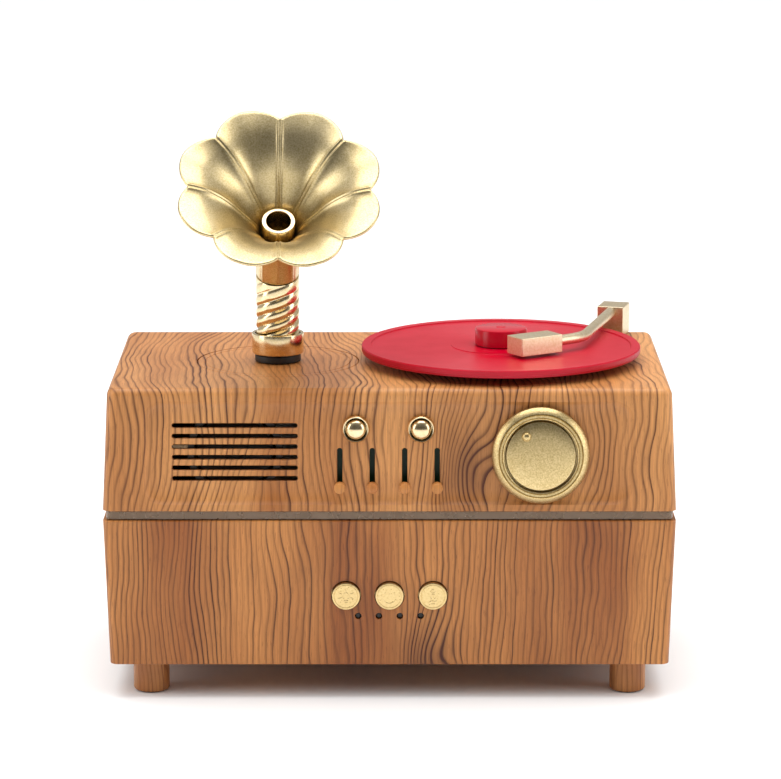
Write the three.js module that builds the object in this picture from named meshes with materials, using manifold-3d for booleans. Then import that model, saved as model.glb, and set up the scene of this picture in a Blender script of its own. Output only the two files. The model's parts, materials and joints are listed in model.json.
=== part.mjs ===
// Gramophone-styled tabletop mist diffuser with a small loudspeaker.
// A wood-look case in two drafted halves carries a swivelling mist horn on a round
// tank lid, a turning record, a swinging tone arm, and a front panel of controls.
// Millimetres, +Z up, front towards -Y, standing on z = 0.

import * as THREE from 'three';
import { mergeVertices } from 'three/addons/utils/BufferGeometryUtils.js';
import Module from 'manifold-3d';

const wasm = await Module();
wasm.setup();

// ---------------------------------------------------------------- driving dimensions

const fit = 0.3;                 // clearance between neighbouring pieces

const caseWidth = 170;           // at the split, where both halves are widest
const caseDepth = 95.8;
const caseWall = 3;
const footHeight = 10.6;
const lowerHeight = 44.5;
const bandHeight = 2.9;
const upperHeight = 36.6;
const upperDraft = 0.046;        // inward lean of every upper wall, mm per mm of height
const lowerDraft = 0.033;
const caseCorner = 2.8;
const caseTopFillet = 2.4;

const footInsetX = 13.2;         // foot axis from the widest side face
const footInsetY = 12.3;
const footRadius = 5.4;
const padRadius = 4.3;
const padThickness = 1.2;
const postRadius = 3.6;
const screwRadius = 1.5;
const screwHeadRadius = 3.2;
const screwHeadHeight = 2.3;
const screwGripUpper = 15;       // how far a case screw runs into the upper post

const bandInset = 1;             // light band behind the case's outer face
const bandLipWall = 1.2;
const bandLipReach = 2.4;
const ledBoardWidth = 3.2;
const ledBoardThickness = 1.2;

const lidX = -34.1;              // tank, lid and horn share one vertical axis
const lidY = -3.1;
const lidSeamRadius = 24.75;
const lidFlange = 1.6;
const lidLedge = 1.8;
const lidSkirtGap = 0.6;         // lid skirt inside the tank's wall
const lidSkirtWall = 1.4;
const lidSkirtDepth = 5.5;
const tankInset = 1.6;           // tank inside the edge of the mouth in the case
const tankWall = 1.6;
const tankBase = 22;
const tankFloor = 2;
const tankFlange = 1.6;
const tankDrain = 8;             // hole in the tank's base, over the disc
const discRadius = 9.9;
const discThickness = 0.8;
const sealRadius = 11.5;
const sealBore = 8.3;
const sealHeight = 1.9;
const retainerRadius = 14;
const retainerBore = 7.5;
const retainerBase = 2.4;
const airPortDrop = 11.6;        // air port below the underside of the case top
const ductRadius = 4;
const ductBore = 3;

const spigotRadius = 5.6;
const mistBore = 3.75;           // radius of the mist passage through stem and nozzle
const washerRadius = 7;
const washerHeight = 2;
const collarRadius = 7.9;
const collarHeight = 6.4;
const stemRadius = 6.6;
const stemHeight = 26.9;         // case top to the middle of the mitre
const fluteDepth = 0.5;
const fluteCount = 6;
const fluteLead = 22;
const clipRadius = 7.6;
const clipThickness = 0.8;

const hornTilt = 41.5;           // degrees from upright, towards the front
const hornYaw = 3.2;
const hornRoll = -1.9;
const neckRadius = 6.3;
const bellWall = 1;
const bellSeamRadius = 26.4;
const petalCount = 8;
const petalReach = 0.155;        // how much further a petal's middle stands out at the rim
const nozzleRadius = 4.95;
const nozzleLow = 3;
const nozzleTop = 25.3;

const recordX = 34.05;
const recordY = -1.65;
const recordRadius = 42.6;
const recordLift = 2.5;          // underside above the case top
const recordThickness = 2.1;
const recordRimWidth = 2.9;
const recordRimRise = 0.4;
const labelRadius = 15.1;
const labelRise = 0.2;
const carrierRadius = 12;
const hubRadius = 7.9;
const hubHeight = 5.1;
const spindleRadius = 1.5;
const motorRadius = 11.5;
const motorHeight = 15;
const motorEarReach = 18;
const motorEarWidth = 8;
const motorEarThickness = 1.6;
const motorGap = 1.8;            // motor's ears below the underside of the case top
const bossRadius = 2.4;
const pilotRadius = 1.3;         // pilot holes for the motor's screws

const armInsetX = 14.1;          // arm pivot from the widest side and back faces
const armInsetY = 8.6;
const armBlockWidth = 8.4;
const armBlockDepth = 10;
const armBlockHeight = 9.5;
const armYaw = -15;
const armTubeRadius = 1.6;
const armTubeDrop = 1.7;         // block top to the tube's axis
const armSeat = 2.6;             // how far the tube runs into the block and the headshell
const armBend = [24.95, -5.35];  // bend and headshell end, from the record's axis
const armNose = [15.95, -12.35];
const headshellLength = 14.8;
const headshellWidth = 8;
const headshellHeight = 5.5;
const headshellYaw = 33;
const armPinRadius = 2;
const armPinSeat = 2.4;          // how deep the pin stands in the case top
const armPinRise = 4.5;

const panelCentreX = -0.3;       // moulded recess across the upper front
const panelWidth = 144.4;
const panelLow = 2;              // heights on the upper front, from its lower edge
const panelHigh = 32.8;
const panelCorner = 5;
const panelDepth = 1.2;
const panelCove = 2.4;

const slotCentreX = -45.7;
const slotLength = 37.2;
const slotHeight = 1.45;
const slotPitch = 3.17;
const slotCount = 6;
const slotLow = 9.65;
const speakerRadius = 14.2;
const speakerConeRadius = 11.4;
const magnetRadius = 9.5;
const speakerDepth = 13.2;

const domeX = [-9.95, 9.32];
const domeHigh = 24.6;
const domeRingRadius = 4.15;
const domeRadius = 3;
const domeSleeveRadius = 3.75;
const domeRise = 2.6;
const domeTravel = 1.2;

const sliderX = [-14.7, -5.1, 4.5, 14.1];
const sliderRest = 7.1;
const sliderSlotTop = 18.8;
const sliderSlotWidth = 1.6;
const sliderPegRadius = 1.65;
const sliderPegRise = 2;
const sliderLever = 1;

const dialX = 44.62;
const dialHigh = 17;
const dialRadius = 14.45;
const dialFaceRadius = 12.7;
const dialCapRadius = 10.5;
const dialRise = 3;
const dialSkirt = 12.2;          // the dial's foot, inside the recess's cove
const dialShaftRadius = 2.5;
const beadRadius = 1.6;
const beadOrbit = 7.28;
const beadAngle = 126;           // degrees anticlockwise from the right, at rest
const potRadius = 8.5;
const potDepth = 6.5;

const pressX = [-12.93, 0, 12.94];
const pressNames = ['lamp', 'power', 'mist'];
const pressDrop = 23;            // button axis below the split, on the lower front
const pressRadius = 4.2;
const pressRise = 1.1;
const pressTravel = 0.8;
const ledX = [-9.32, -3.15, 3.07, 9.27];
const ledDrop = 29.4;
const ledRadius = 1;

const blowerX = 45;
const blowerY = -15;
const blowerSide = 36;
const blowerHeight = 9.5;
const blowerWall = 1.5;
const blowerBore = 14.5;
const intakeRadius = 11;
const impellerRadius = 13;
const bladeCount = 9;
const grilleCount = 6;
const grilleWidth = 1.8;

const boardThickness = 1.6;
const mainBoardLeft = 3;
const mainBoardWidth = 62;
const mainBoardDepth = 35;
const mainBoardRear = 6.9;       // board's rear edge from the widest back face
const mainBoardStand = 4.4;      // board above the case floor
const standoffRadius = 2.2;
const controlBoardGap = 4.9;     // control board behind the upper front's inner face
const inletX = 45;
const inletWidth = 9;
const inletHeight = 3.3;

// ---------------------------------------------------------------- levels worked out

const lowerBase = footHeight;
const splitLow = lowerBase + lowerHeight;
const splitHigh = splitLow + bandHeight;
const caseTop = splitHigh + upperHeight;
const floorTop = lowerBase + caseWall;
const ceiling = caseTop - caseWall;
const postMeet = splitHigh - 1.3;            // where lower and upper posts face each other
const motorTop = ceiling - motorGap;         // face of the motor's ears
const lidHoleRadius = lidSeamRadius + fit / 2;
const lidMouthRadius = lidHoleRadius - lidLedge;
const tankRadius = lidMouthRadius - tankInset;
const lidSkirtRadius = tankRadius - tankWall - lidSkirtGap;
const airPortHeight = ceiling - airPortDrop;
const armPivotX = caseWidth / 2 - armInsetX;
const armPivotY = caseDepth / 2 - armInsetY;
const mainBoardX = [mainBoardLeft, mainBoardLeft + mainBoardWidth];
const mainBoardY = [caseDepth / 2 - mainBoardRear - mainBoardDepth, caseDepth / 2 - mainBoardRear];
const mainBoardBase = floorTop + mainBoardStand;
const inletBase = mainBoardBase + boardThickness + fit;
const footX = caseWidth / 2 - footInsetX;
const footY = caseDepth / 2 - footInsetY;
const corners = [
  ['front_left', -footX, -footY],
  ['front_right', footX, -footY],
  ['back_left', -footX, footY],
  ['back_right', footX, footY],
];

// ---------------------------------------------------------------- geometry helpers

// A bare, outward-facing skin: shared vertices merged, flattened triangles dropped.
function closedSkin(geometry) {
  const bare = geometry.clone();
  bare.deleteAttribute('normal');
  bare.deleteAttribute('uv');
  const merged = mergeVertices(bare);
  const index = merged.index.array;
  const place = merged.attributes.position;
  const [a, b, c] = [new THREE.Vector3(), new THREE.Vector3(), new THREE.Vector3()];
  const kept = [];
  let volume = 0;
  for (let i = 0; i < index.length; i += 3) {
    const [p, q, r] = [index[i], index[i + 1], index[i + 2]];
    if (p === q || q === r || r === p) continue;
    kept.push(p, q, r);
    a.fromBufferAttribute(place, p);
    b.fromBufferAttribute(place, q);
    c.fromBufferAttribute(place, r);
    volume += a.dot(b.cross(c));
  }
  merged.setIndex(volume < 0 ? kept.reverse() : kept);
  return merged;
}

function toSolid(geometry) {
  const skin = closedSkin(geometry);
  return new wasm.Manifold(new wasm.Mesh({
    numProp: 3,
    vertProperties: new Float32Array(skin.attributes.position.array),
    triVerts: new Uint32Array(skin.index.array),
  }));
}

function toGeometry(solid) {
  const mesh = solid.getMesh();
  const geometry = new THREE.BufferGeometry();
  geometry.setAttribute('position', new THREE.BufferAttribute(mesh.vertProperties, 3));
  geometry.setIndex(new THREE.BufferAttribute(mesh.triVerts, 1));
  return geometry;
}

// Adds every geometry in `pieces` together, then takes every one in `cutters` away.
function shape(pieces, cutters = []) {
  let solid = toSolid(pieces[0]);
  for (const piece of pieces.slice(1)) solid = solid.add(toSolid(piece));
  for (const cutter of cutters) solid = solid.subtract(toSolid(cutter));
  return toGeometry(solid);
}

function box(x0, x1, y0, y1, z0, z1) {
  const geometry = new THREE.BoxGeometry(x1 - x0, y1 - y0, z1 - z0);
  return geometry.translate((x0 + x1) / 2, (y0 + y1) / 2, (z0 + z1) / 2);
}

function rod(x, y, radius, low, high, segments = 12) {
  const geometry = new THREE.CylinderGeometry(radius, radius, high - low, segments);
  return geometry.rotateX(Math.PI / 2).translate(x, y, (low + high) / 2);
}

// A solid of revolution about +Z from [radius, height] pairs that start and end on the axis.
function turned(profile, segments = 20) {
  const points = profile.map(([radius, height]) => new THREE.Vector2(radius, height));
  return new THREE.LatheGeometry(points, segments).rotateX(Math.PI / 2);
}

// The same for a ring, whose profile closes on itself.
function turnedRing(profile, segments = 20) {
  return turned([...profile, profile[0]], segments);
}

function tube(outer, inner, low, high, segments = 20) {
  return turnedRing([[inner, low], [outer, low], [outer, high], [inner, high]], segments);
}

function roundedRectangle(width, height, radius) {
  const x = width / 2 - radius;
  const y = height / 2 - radius;
  const outline = new THREE.Shape();
  outline.absarc(x, y, radius, 0, Math.PI / 2);
  outline.absarc(-x, y, radius, Math.PI / 2, Math.PI);
  outline.absarc(-x, -y, radius, Math.PI, Math.PI * 1.5);
  outline.absarc(x, -y, radius, Math.PI * 1.5, Math.PI * 2);
  return outline;
}

function stadium(width, height) {
  return roundedRectangle(width, height, Math.min(width, height) / 2 - 0.01);
}

function slab(outline, low, high, curveSegments = 2) {
  const depth = high - low;
  const geometry = new THREE.ExtrudeGeometry(outline, { depth, bevelEnabled: false, curveSegments });
  return geometry.translate(0, 0, low);
}

// Leans every side of a geometry inwards above the level `wide`, or below it if `draft` is negative.
function lean(geometry, wide, draft) {
  const place = geometry.attributes.position;
  for (let i = 0; i < place.count; i += 1) {
    const shrink = draft * (place.getZ(i) - wide) * 2;
    place.setX(i, place.getX(i) * (1 - shrink / caseWidth));
    place.setY(i, place.getY(i) * (1 - shrink / caseDepth));
  }
  return geometry;
}

function caseOutline(inset) {
  const radius = Math.max(caseCorner - inset, 0.6);
  return roundedRectangle(caseWidth - 2 * inset, caseDepth - 2 * inset, radius);
}

// Frames on the two front faces: x right, y up the face, z out of it.
const upperFront = new THREE.Group();
upperFront.position.set(0, -caseDepth / 2, splitHigh);
upperFront.rotation.x = Math.PI / 2 - Math.atan(upperDraft);
upperFront.updateMatrix();
const lowerFront = new THREE.Group();
lowerFront.position.set(0, -caseDepth / 2, splitLow);
lowerFront.rotation.x = Math.PI / 2 + Math.atan(lowerDraft);
lowerFront.updateMatrix();
const onUpper = (geometry) => geometry.applyMatrix4(upperFront.matrix);
const onLower = (geometry) => geometry.applyMatrix4(lowerFront.matrix);

// ---------------------------------------------------------------- materials

const materials = {
  upper_wood: ['#c98d52', 0.5, 0],
  lower_wood: ['#b8703a', 0.5, 0],
  gold: ['#c9b27a', 0.32, 1],
  pale_gold: ['#d8c8a0', 0.25, 1],
  red: ['#c8203c', 0.3, 0],
  clear: ['#cfc8c0', 0.2, 0],
  black: ['#1a1a1a', 0.6, 0],
  rubber: ['#2b2b2b', 0.9, 0],
  steel: ['#a8a8a8', 0.35, 1],
  board: ['#1f5a35', 0.6, 0],
  white: ['#e6e6e2', 0.5, 0],
};

const model = new THREE.Group();

function add(parent, name, finish, geometry) {
  const [color, roughness, metalness] = materials[finish];
  const skin = closedSkin(geometry);
  skin.computeVertexNormals();
  const mesh = new THREE.Mesh(skin, new THREE.MeshStandardMaterial({ color, roughness, metalness }));
  mesh.name = name;
  parent.add(mesh);
  return mesh;
}

// ---------------------------------------------------------------- case

const panelMid = (panelLow + panelHigh) / 2;
const panelFloor = -panelDepth;
const domeHoleRadius = domeSleeveRadius + fit;
const dialBushRadius = dialShaftRadius + fit + 0.8;
const controlBoardFace = -caseWall - controlBoardGap;
const boardPosts = [[-19.6, 6.5], [19.6, 6.5], [-19.6, 26], [19.6, 26]];
const boardPostRadius = 1.8;

function panelCutter() {
  const width = panelWidth - 2 * panelCove;
  const height = panelHigh - panelLow - 2 * panelCove;
  const geometry = new THREE.ExtrudeGeometry(roundedRectangle(width, height, panelCorner - panelCove), {
    depth: 2,
    bevelThickness: panelDepth,
    bevelSize: panelCove,
    bevelSegments: 2,
    curveSegments: 3,
  });
  return geometry.translate(panelCentreX, panelMid, 0);
}

function speakerSlots() {
  const cutters = [];
  for (let i = 0; i < slotCount; i += 1) {
    const geometry = slab(stadium(slotLength, slotHeight), -caseWall - 1, 1);
    cutters.push(geometry.translate(slotCentreX, slotLow + i * slotPitch, 0));
  }
  return cutters;
}

function sliderSlots() {
  const low = sliderRest - sliderSlotWidth / 2 - fit;
  return sliderX.map((x) => {
    const geometry = slab(stadium(sliderSlotWidth, sliderSlotTop - low), -caseWall - 1, 1);
    return geometry.translate(x, (sliderSlotTop + low) / 2, 0);
  });
}

function upperShell() {
  const outer = new THREE.ExtrudeGeometry(caseOutline(0), {
    depth: upperHeight,
    bevelThickness: caseTopFillet,
    bevelSize: caseTopFillet,
    bevelOffset: -caseTopFillet,
    bevelSegments: 2,
    curveSegments: 2,
  });
  outer.translate(0, 0, splitHigh - caseTopFillet);
  const trim = box(-caseWidth, caseWidth, -caseDepth, caseDepth, splitHigh - 9, splitHigh);
  const cavity = slab(caseOutline(caseWall), splitHigh - 9, ceiling);
  const shell = shape(
    [lean(outer, splitHigh, upperDraft)],
    [trim, lean(cavity, splitHigh, upperDraft)],
  );
  const posts = corners.map(([, x, y]) => rod(x, y, postRadius, postMeet + fit / 2, ceiling + 1, 8));
  const motorBosses = [-1, 1].map((side) => (
    rod(recordX + side * motorEarReach, recordY, bossRadius, motorTop + fit, ceiling + 1, 8)
  ));
  const boardBosses = boardPosts.map(([x, y]) => (
    onUpper(rod(x, y, boardPostRadius, controlBoardFace + fit, -caseWall + 1, 6))
  ));
  const screwHoles = corners.map(([, x, y]) => (
    rod(x, y, screwRadius + fit, postMeet - 1, postMeet + screwGripUpper + 2, 8)
  ));
  const motorHoles = [-1, 1].map((side) => (
    rod(recordX + side * motorEarReach, recordY, pilotRadius, motorTop - 1, ceiling + 1.5, 8)
  ));
  const frontHoles = [
    panelCutter(),
    ...speakerSlots(),
    ...sliderSlots(),
    ...domeX.map((x) => rod(x, domeHigh, domeHoleRadius, -caseWall - 1, 1, 16)),
    rod(dialX, dialHigh, dialBushRadius + fit, -caseWall - 1, 1, 14),
  ];
  return shape([shell, ...posts, ...motorBosses, ...boardBosses], [
    rod(lidX, lidY, lidHoleRadius, caseTop - lidFlange - fit, caseTop + 1, 32),
    rod(lidX, lidY, lidMouthRadius, ceiling - 1, caseTop + 1, 32),
    rod(recordX, recordY, spindleRadius + fit, ceiling - 1, caseTop + 1, 10),
    rod(armPivotX, armPivotY, armPinRadius + fit, caseTop - armPinSeat - fit, caseTop + 1, 10),
    ...screwHoles,
    ...motorHoles,
    ...frontHoles.map(onUpper),
  ]);
}

const mainPosts = [
  [mainBoardX[0] + 3, mainBoardY[0] + 3],
  [mainBoardX[1] - 3, mainBoardY[0] + 3],
  [mainBoardX[0] + 3, mainBoardY[1] - 3],
  [mainBoardX[1] - 3, mainBoardY[1] - 3],
];

function lowerShell() {
  const outer = lean(slab(caseOutline(0), lowerBase, splitLow), splitLow, -lowerDraft);
  const cavity = lean(slab(caseOutline(caseWall), floorTop, splitLow + 9), splitLow, -lowerDraft);
  const shell = shape([outer], [cavity]);
  const posts = corners.map(([, x, y]) => rod(x, y, postRadius, floorTop - 1, postMeet - fit / 2, 8));
  const standoffs = mainPosts.map(([x, y]) => (
    rod(x, y, standoffRadius, floorTop - 1, mainBoardBase - fit, 8)
  ));
  const screwHoles = corners.map(([, x, y]) => (
    rod(x, y, screwRadius + fit, lowerBase - 1, postMeet + 1, 8)
  ));
  const grille = [];
  for (let i = 0; i < grilleCount; i += 1) {
    const y = blowerY + (i - (grilleCount - 1) / 2) * grilleWidth * 2;
    const slot = slab(stadium(intakeRadius * 1.8, grilleWidth), lowerBase - 1, floorTop + 1);
    grille.push(slot.translate(blowerX, y, 0));
  }
  const frontHoles = [
    ...pressX.map((x) => rod(x, -pressDrop, pressRadius + fit, -caseWall - 1, 1, 20)),
    ...ledX.map((x) => rod(x, -ledDrop, ledRadius, -caseWall - 1, 1, 8)),
  ];
  const inletHole = box(
    inletX - inletWidth / 2 - fit, inletX + inletWidth / 2 + fit,
    caseDepth / 2 - caseWall - 4, caseDepth / 2 + 1,
    inletBase - fit, inletBase + inletHeight + fit,
  );
  return shape([shell, ...posts, ...standoffs], [
    ...screwHoles,
    ...grille,
    ...frontHoles.map(onLower),
    inletHole,
  ]);
}

add(model, 'upper_case', 'upper_wood', upperShell());
add(model, 'lower_case', 'lower_wood', lowerShell());

// The clear band closes the gap between the halves and locates them with a lip inside.
const lipInset = caseWall + fit;
const bandRim = caseOutline(bandInset);
bandRim.holes.push(caseOutline(lipInset + bandLipWall));
const bandLip = caseOutline(lipInset + 2 * upperDraft);
bandLip.holes.push(caseOutline(lipInset + bandLipWall));
add(model, 'light_band', 'clear', shape([
  slab(bandRim, splitLow + fit, splitHigh - fit),
  slab(bandLip, splitLow - bandLipReach, splitHigh + bandLipReach),
]));

// One ring-shaped board carries the band's lamps.
const ledInset = lipInset + bandLipWall + fit;
const ledRing = caseOutline(ledInset);
ledRing.holes.push(caseOutline(ledInset + ledBoardWidth));
const ledBase = splitLow + 0.2;
const ledLamps = [];
for (const side of [-1, 1]) {
  for (const x of [-54, -18, 18, 54]) {
    const y = side * (caseDepth / 2 - ledInset - 1.2);
    const top = ledBase + ledBoardThickness + 0.8;
    ledLamps.push(box(x - 1.6, x + 1.6, y - 0.8, y + 0.8, ledBase + 0.5, top));
  }
}
add(model, 'led_board', 'board', shape([
  slab(ledRing, ledBase, ledBase + ledBoardThickness),
  ...ledLamps,
]));

// ---------------------------------------------------------------- feet and case screws

const screwHeadLow = padThickness + 2 * fit + 1.4;
const counterboreTop = screwHeadLow + screwHeadHeight + fit;

for (const [corner, x, y] of corners) {
  const foot = turnedRing([
    [padRadius + fit, fit],
    [footRadius - 0.4, fit],
    [footRadius, fit + 0.5],
    [footRadius, footHeight - fit],
    [screwRadius + fit, footHeight - fit],
    [screwRadius + fit, counterboreTop],
    [screwHeadRadius + fit, counterboreTop],
    [screwHeadRadius + fit, padThickness + fit],
    [padRadius + fit, padThickness + fit],
  ], 12);
  add(model, `foot_${corner}`, 'lower_wood', foot.translate(x, y, 0));
  add(model, `foot_pad_${corner}`, 'rubber', rod(x, y, padRadius, 0, padThickness, 12));
  const screw = turned([
    [0, screwHeadLow],
    [screwHeadRadius - 0.6, screwHeadLow],
    [screwHeadRadius, screwHeadLow + 0.8],
    [screwHeadRadius, screwHeadLow + screwHeadHeight],
    [screwRadius, screwHeadLow + screwHeadHeight],
    [screwRadius, postMeet + screwGripUpper - 1],
    [0, postMeet + screwGripUpper],
  ], 8);
  add(model, `case_screw_${corner}`, 'steel', screw.translate(x, y, 0));
}

// ---------------------------------------------------------------- tank and lid

const tankTop = ceiling - fit;
const tank = shape([
  turnedRing([
    [tankDrain, tankBase],
    [tankRadius, tankBase],
    [tankRadius, tankTop - tankFlange - 1.5],
    [lidMouthRadius + 1, tankTop - tankFlange],
    [lidMouthRadius + 1, tankTop],
    [tankRadius - tankWall, tankTop],
    [tankRadius - tankWall, tankBase + tankFloor],
    [tankDrain, tankBase + tankFloor],
  ], 28).translate(lidX, lidY, 0),
], [
  new THREE.CylinderGeometry(ductRadius + 2 * fit, ductRadius + 2 * fit, 8, 12)
    .rotateZ(Math.PI / 2).translate(lidX + tankRadius, lidY, airPortHeight),
]);
add(model, 'water_tank', 'clear', tank);

const underTank = tankBase - fit;
add(model, 'disc_seal', 'rubber', tube(sealRadius, sealBore, underTank - sealHeight, underTank)
  .translate(lidX, lidY, 0));
const discTop = underTank - sealHeight - fit;
add(model, 'ultrasonic_disc', 'steel', rod(
  lidX, lidY, discRadius, discTop - discThickness, discTop, 20,
));
const retainerTop = discTop - discThickness - fit;
add(model, 'disc_retainer', 'white', turnedRing([
  [retainerBore, retainerTop - retainerBase],
  [retainerRadius, retainerTop - retainerBase],
  [retainerRadius, underTank],
  [sealRadius + fit, underTank],
  [sealRadius + fit, retainerTop],
  [retainerBore, retainerTop],
]).translate(lidX, lidY, 0));

// The lid lifts off with everything above it, so its pieces share one group.
const lid = new THREE.Group();
lid.position.set(lidX, lidY, caseTop);
model.add(lid);
const lidRadius = lidSeamRadius - fit / 2;
const spigotHole = spigotRadius + fit;
add(lid, 'tank_lid', 'upper_wood', turnedRing([
  [spigotHole, -caseWall],
  [lidSkirtRadius - lidSkirtWall, -caseWall],
  [lidSkirtRadius - lidSkirtWall, -caseWall - lidSkirtDepth],
  [lidSkirtRadius, -caseWall - lidSkirtDepth],
  [lidSkirtRadius, -caseWall],
  [lidMouthRadius - fit, -caseWall],
  [lidMouthRadius - fit, -lidFlange],
  [lidRadius, -lidFlange],
  [lidRadius, 0],
  [spigotHole, 0],
], 32));
add(lid, 'swivel_washer', 'black', tube(washerRadius, spigotHole, fit, fit + washerHeight));
const collarLow = 2 * fit + washerHeight;
const collarTop = collarLow + collarHeight;
const collarSeat = collarTop - 4.2;
add(lid, 'collar', 'pale_gold', turnedRing([
  [spigotHole, collarLow],
  [collarRadius - 0.4, collarLow],
  [collarRadius, collarLow + 0.4],
  [collarRadius, collarTop - 0.4],
  [collarRadius - 0.4, collarTop],
  [stemRadius + fit, collarTop],
  [stemRadius + fit, collarSeat],
  [spigotHole, collarSeat],
], 24));

// ---------------------------------------------------------------- horn

const horn = new THREE.Group();
horn.rotation.z = THREE.MathUtils.degToRad(hornYaw);
lid.add(horn);
const clipTop = -caseWall - fit;
const clipBase = clipTop - clipThickness;
const grooveRadius = spigotRadius - 1;

function flutedStem() {
  const stepsPerFlute = 4;
  const count = fluteCount * stepsPerFlute;
  const rim = [];
  for (let i = 0; i < count; i += 1) {
    const angle = (i / count) * Math.PI * 2;
    const radius = stemRadius - fluteDepth * (0.5 - 0.5 * Math.cos(fluteCount * angle)) ** 2;
    rim.push(new THREE.Vector2(radius * Math.cos(angle), radius * Math.sin(angle)));
  }
  const low = collarSeat + fit;
  const depth = stemHeight + 5 - low;
  const geometry = new THREE.ExtrudeGeometry(new THREE.Shape(rim), { depth, steps: 12, bevelEnabled: false });
  const place = geometry.attributes.position;
  for (let i = 0; i < place.count; i += 1) {
    const twist = (place.getZ(i) / fluteLead) * Math.PI * 2;
    const point = new THREE.Vector2(place.getX(i), place.getY(i)).rotateAround(new THREE.Vector2(), twist);
    place.setXY(i, point.x, point.y);
  }
  return geometry.translate(0, 0, low);
}

const spigot = turned([
  [0, clipBase - fit - 1.2],
  [spigotRadius - 0.5, clipBase - fit - 1.2],
  [spigotRadius, clipBase - fit - 0.7],
  [spigotRadius, clipBase - fit],
  [grooveRadius, clipBase - fit],
  [grooveRadius, clipTop + fit],
  [spigotRadius, clipTop + fit],
  [spigotRadius, collarSeat + 1],
  [0, collarSeat + 1],
]);
const mitre = THREE.MathUtils.degToRad(hornTilt / 2);
const mitreBox = 60;
const aboveMitre = box(-mitreBox, mitreBox, -mitreBox, mitreBox, -fit / 2, mitreBox)
  .rotateX(mitre).translate(0, 0, stemHeight);
add(horn, 'horn_stem', 'pale_gold', shape(
  [flutedStem(), spigot],
  [rod(0, 0, mistBore, clipBase - 9, stemHeight + 9, 14), aboveMitre],
));
add(horn, 'swivel_clip', 'steel', tube(clipRadius, grooveRadius + fit, clipBase, clipTop, 14));

const hornHead = new THREE.Group();
hornHead.position.z = stemHeight;
hornHead.rotation.x = THREE.MathUtils.degToRad(hornTilt);
horn.add(hornHead);

// Inner wall of the bell along its seams, from the throat to the rim.
const bellCurve = new THREE.SplineCurve([
  new THREE.Vector2(nozzleRadius + fit, 17),
  new THREE.Vector2(8.3, 24.4),
  new THREE.Vector2(11.2, 28.4),
  new THREE.Vector2(15, 33.8),
  new THREE.Vector2(20, 38),
  new THREE.Vector2(bellSeamRadius, 41.4),
]);

function bellGeometry() {
  const steps = 6;
  const inner = [];
  const outer = [];
  for (let i = 0; i <= steps; i += 1) {
    const point = bellCurve.getPoint(i / steps);
    const along = bellCurve.getTangent(i / steps);
    inner.push([point.x, point.y]);
    outer.push([point.x + along.y * bellWall, point.y - along.x * bellWall]);
  }
  const neckEnd = -8;
  const profile = [
    [neckRadius, neckEnd],
    ...outer.filter(([radius]) => radius > neckRadius),
    ...inner.reverse(),
    [nozzleRadius + fit, neckEnd],
  ];
  const geometry = turnedRing(profile, petalCount * 4);
  const place = geometry.attributes.position;
  const throat = nozzleRadius + fit + bellWall;
  for (let i = 0; i < place.count; i += 1) {
    const radius = Math.hypot(place.getX(i), place.getY(i));
    const angle = Math.atan2(place.getY(i), place.getX(i));
    const lobe = Math.abs(Math.sin((petalCount / 2) * angle)) ** 0.8;
    const flare = Math.max(0, (radius - throat) / (bellSeamRadius - throat));
    const stretch = 1 + petalReach * flare * lobe;
    place.setX(i, place.getX(i) * stretch);
    place.setY(i, place.getY(i) * stretch);
  }
  return geometry;
}

const belowMitre = box(-mitreBox, mitreBox, -mitreBox, mitreBox, -mitreBox, fit / 2).rotateX(-mitre);
const bell = bellGeometry().rotateZ(THREE.MathUtils.degToRad(hornRoll));
add(hornHead, 'horn_bell', 'gold', shape([bell], [belowMitre]));
add(hornHead, 'nozzle_tube', 'pale_gold', tube(nozzleRadius, mistBore, nozzleLow, nozzleTop, 16));

// ---------------------------------------------------------------- record and its drive

const turntable = new THREE.Group();
turntable.position.set(recordX, recordY, caseTop);
model.add(turntable);
const recordTop = recordLift + recordThickness;
const spindleHole = spindleRadius + fit;
const rimInner = recordRadius - recordRimWidth;
add(turntable, 'record', 'red', turnedRing([
  [spindleHole, fit + 0.4],
  [carrierRadius, fit + 0.4],
  [carrierRadius, recordLift],
  [recordRadius - 0.8, recordLift],
  [recordRadius, recordLift + 0.8],
  [recordRadius, recordTop + recordRimRise],
  [rimInner, recordTop + recordRimRise],
  [rimInner, recordTop],
  [labelRadius, recordTop],
  [labelRadius, recordTop + labelRise],
  [spindleHole, recordTop + labelRise],
], 36));
const hubLow = recordTop + labelRise + fit;
const motorFace = motorTop - caseTop;
const shaftEnd = motorFace - motorEarThickness - 4;
add(turntable, 'record_hub', 'red', turned([
  [0, shaftEnd],
  [spindleRadius, shaftEnd],
  [spindleRadius, hubLow],
  [hubRadius, hubLow],
  [hubRadius, hubLow + hubHeight - 0.6],
  [hubRadius - 0.6, hubLow + hubHeight],
  [0, hubLow + hubHeight],
], 24));
const motorEars = box(
  -motorEarReach - 3, motorEarReach + 3,
  -motorEarWidth / 2, motorEarWidth / 2,
  motorFace - motorEarThickness, motorFace,
);
const motorBody = shape([
  motorEars,
  rod(0, 0, motorRadius, motorFace - motorHeight, motorFace - 0.8, 20),
], [
  rod(0, 0, spindleHole, shaftEnd - fit, motorFace + 1, 10),
  rod(-motorEarReach, 0, pilotRadius, motorFace - 5, motorFace + 1, 8),
  rod(motorEarReach, 0, pilotRadius, motorFace - 5, motorFace + 1, 8),
]);
add(turntable, 'turntable_motor', 'steel', motorBody);

// ---------------------------------------------------------------- tone arm

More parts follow.
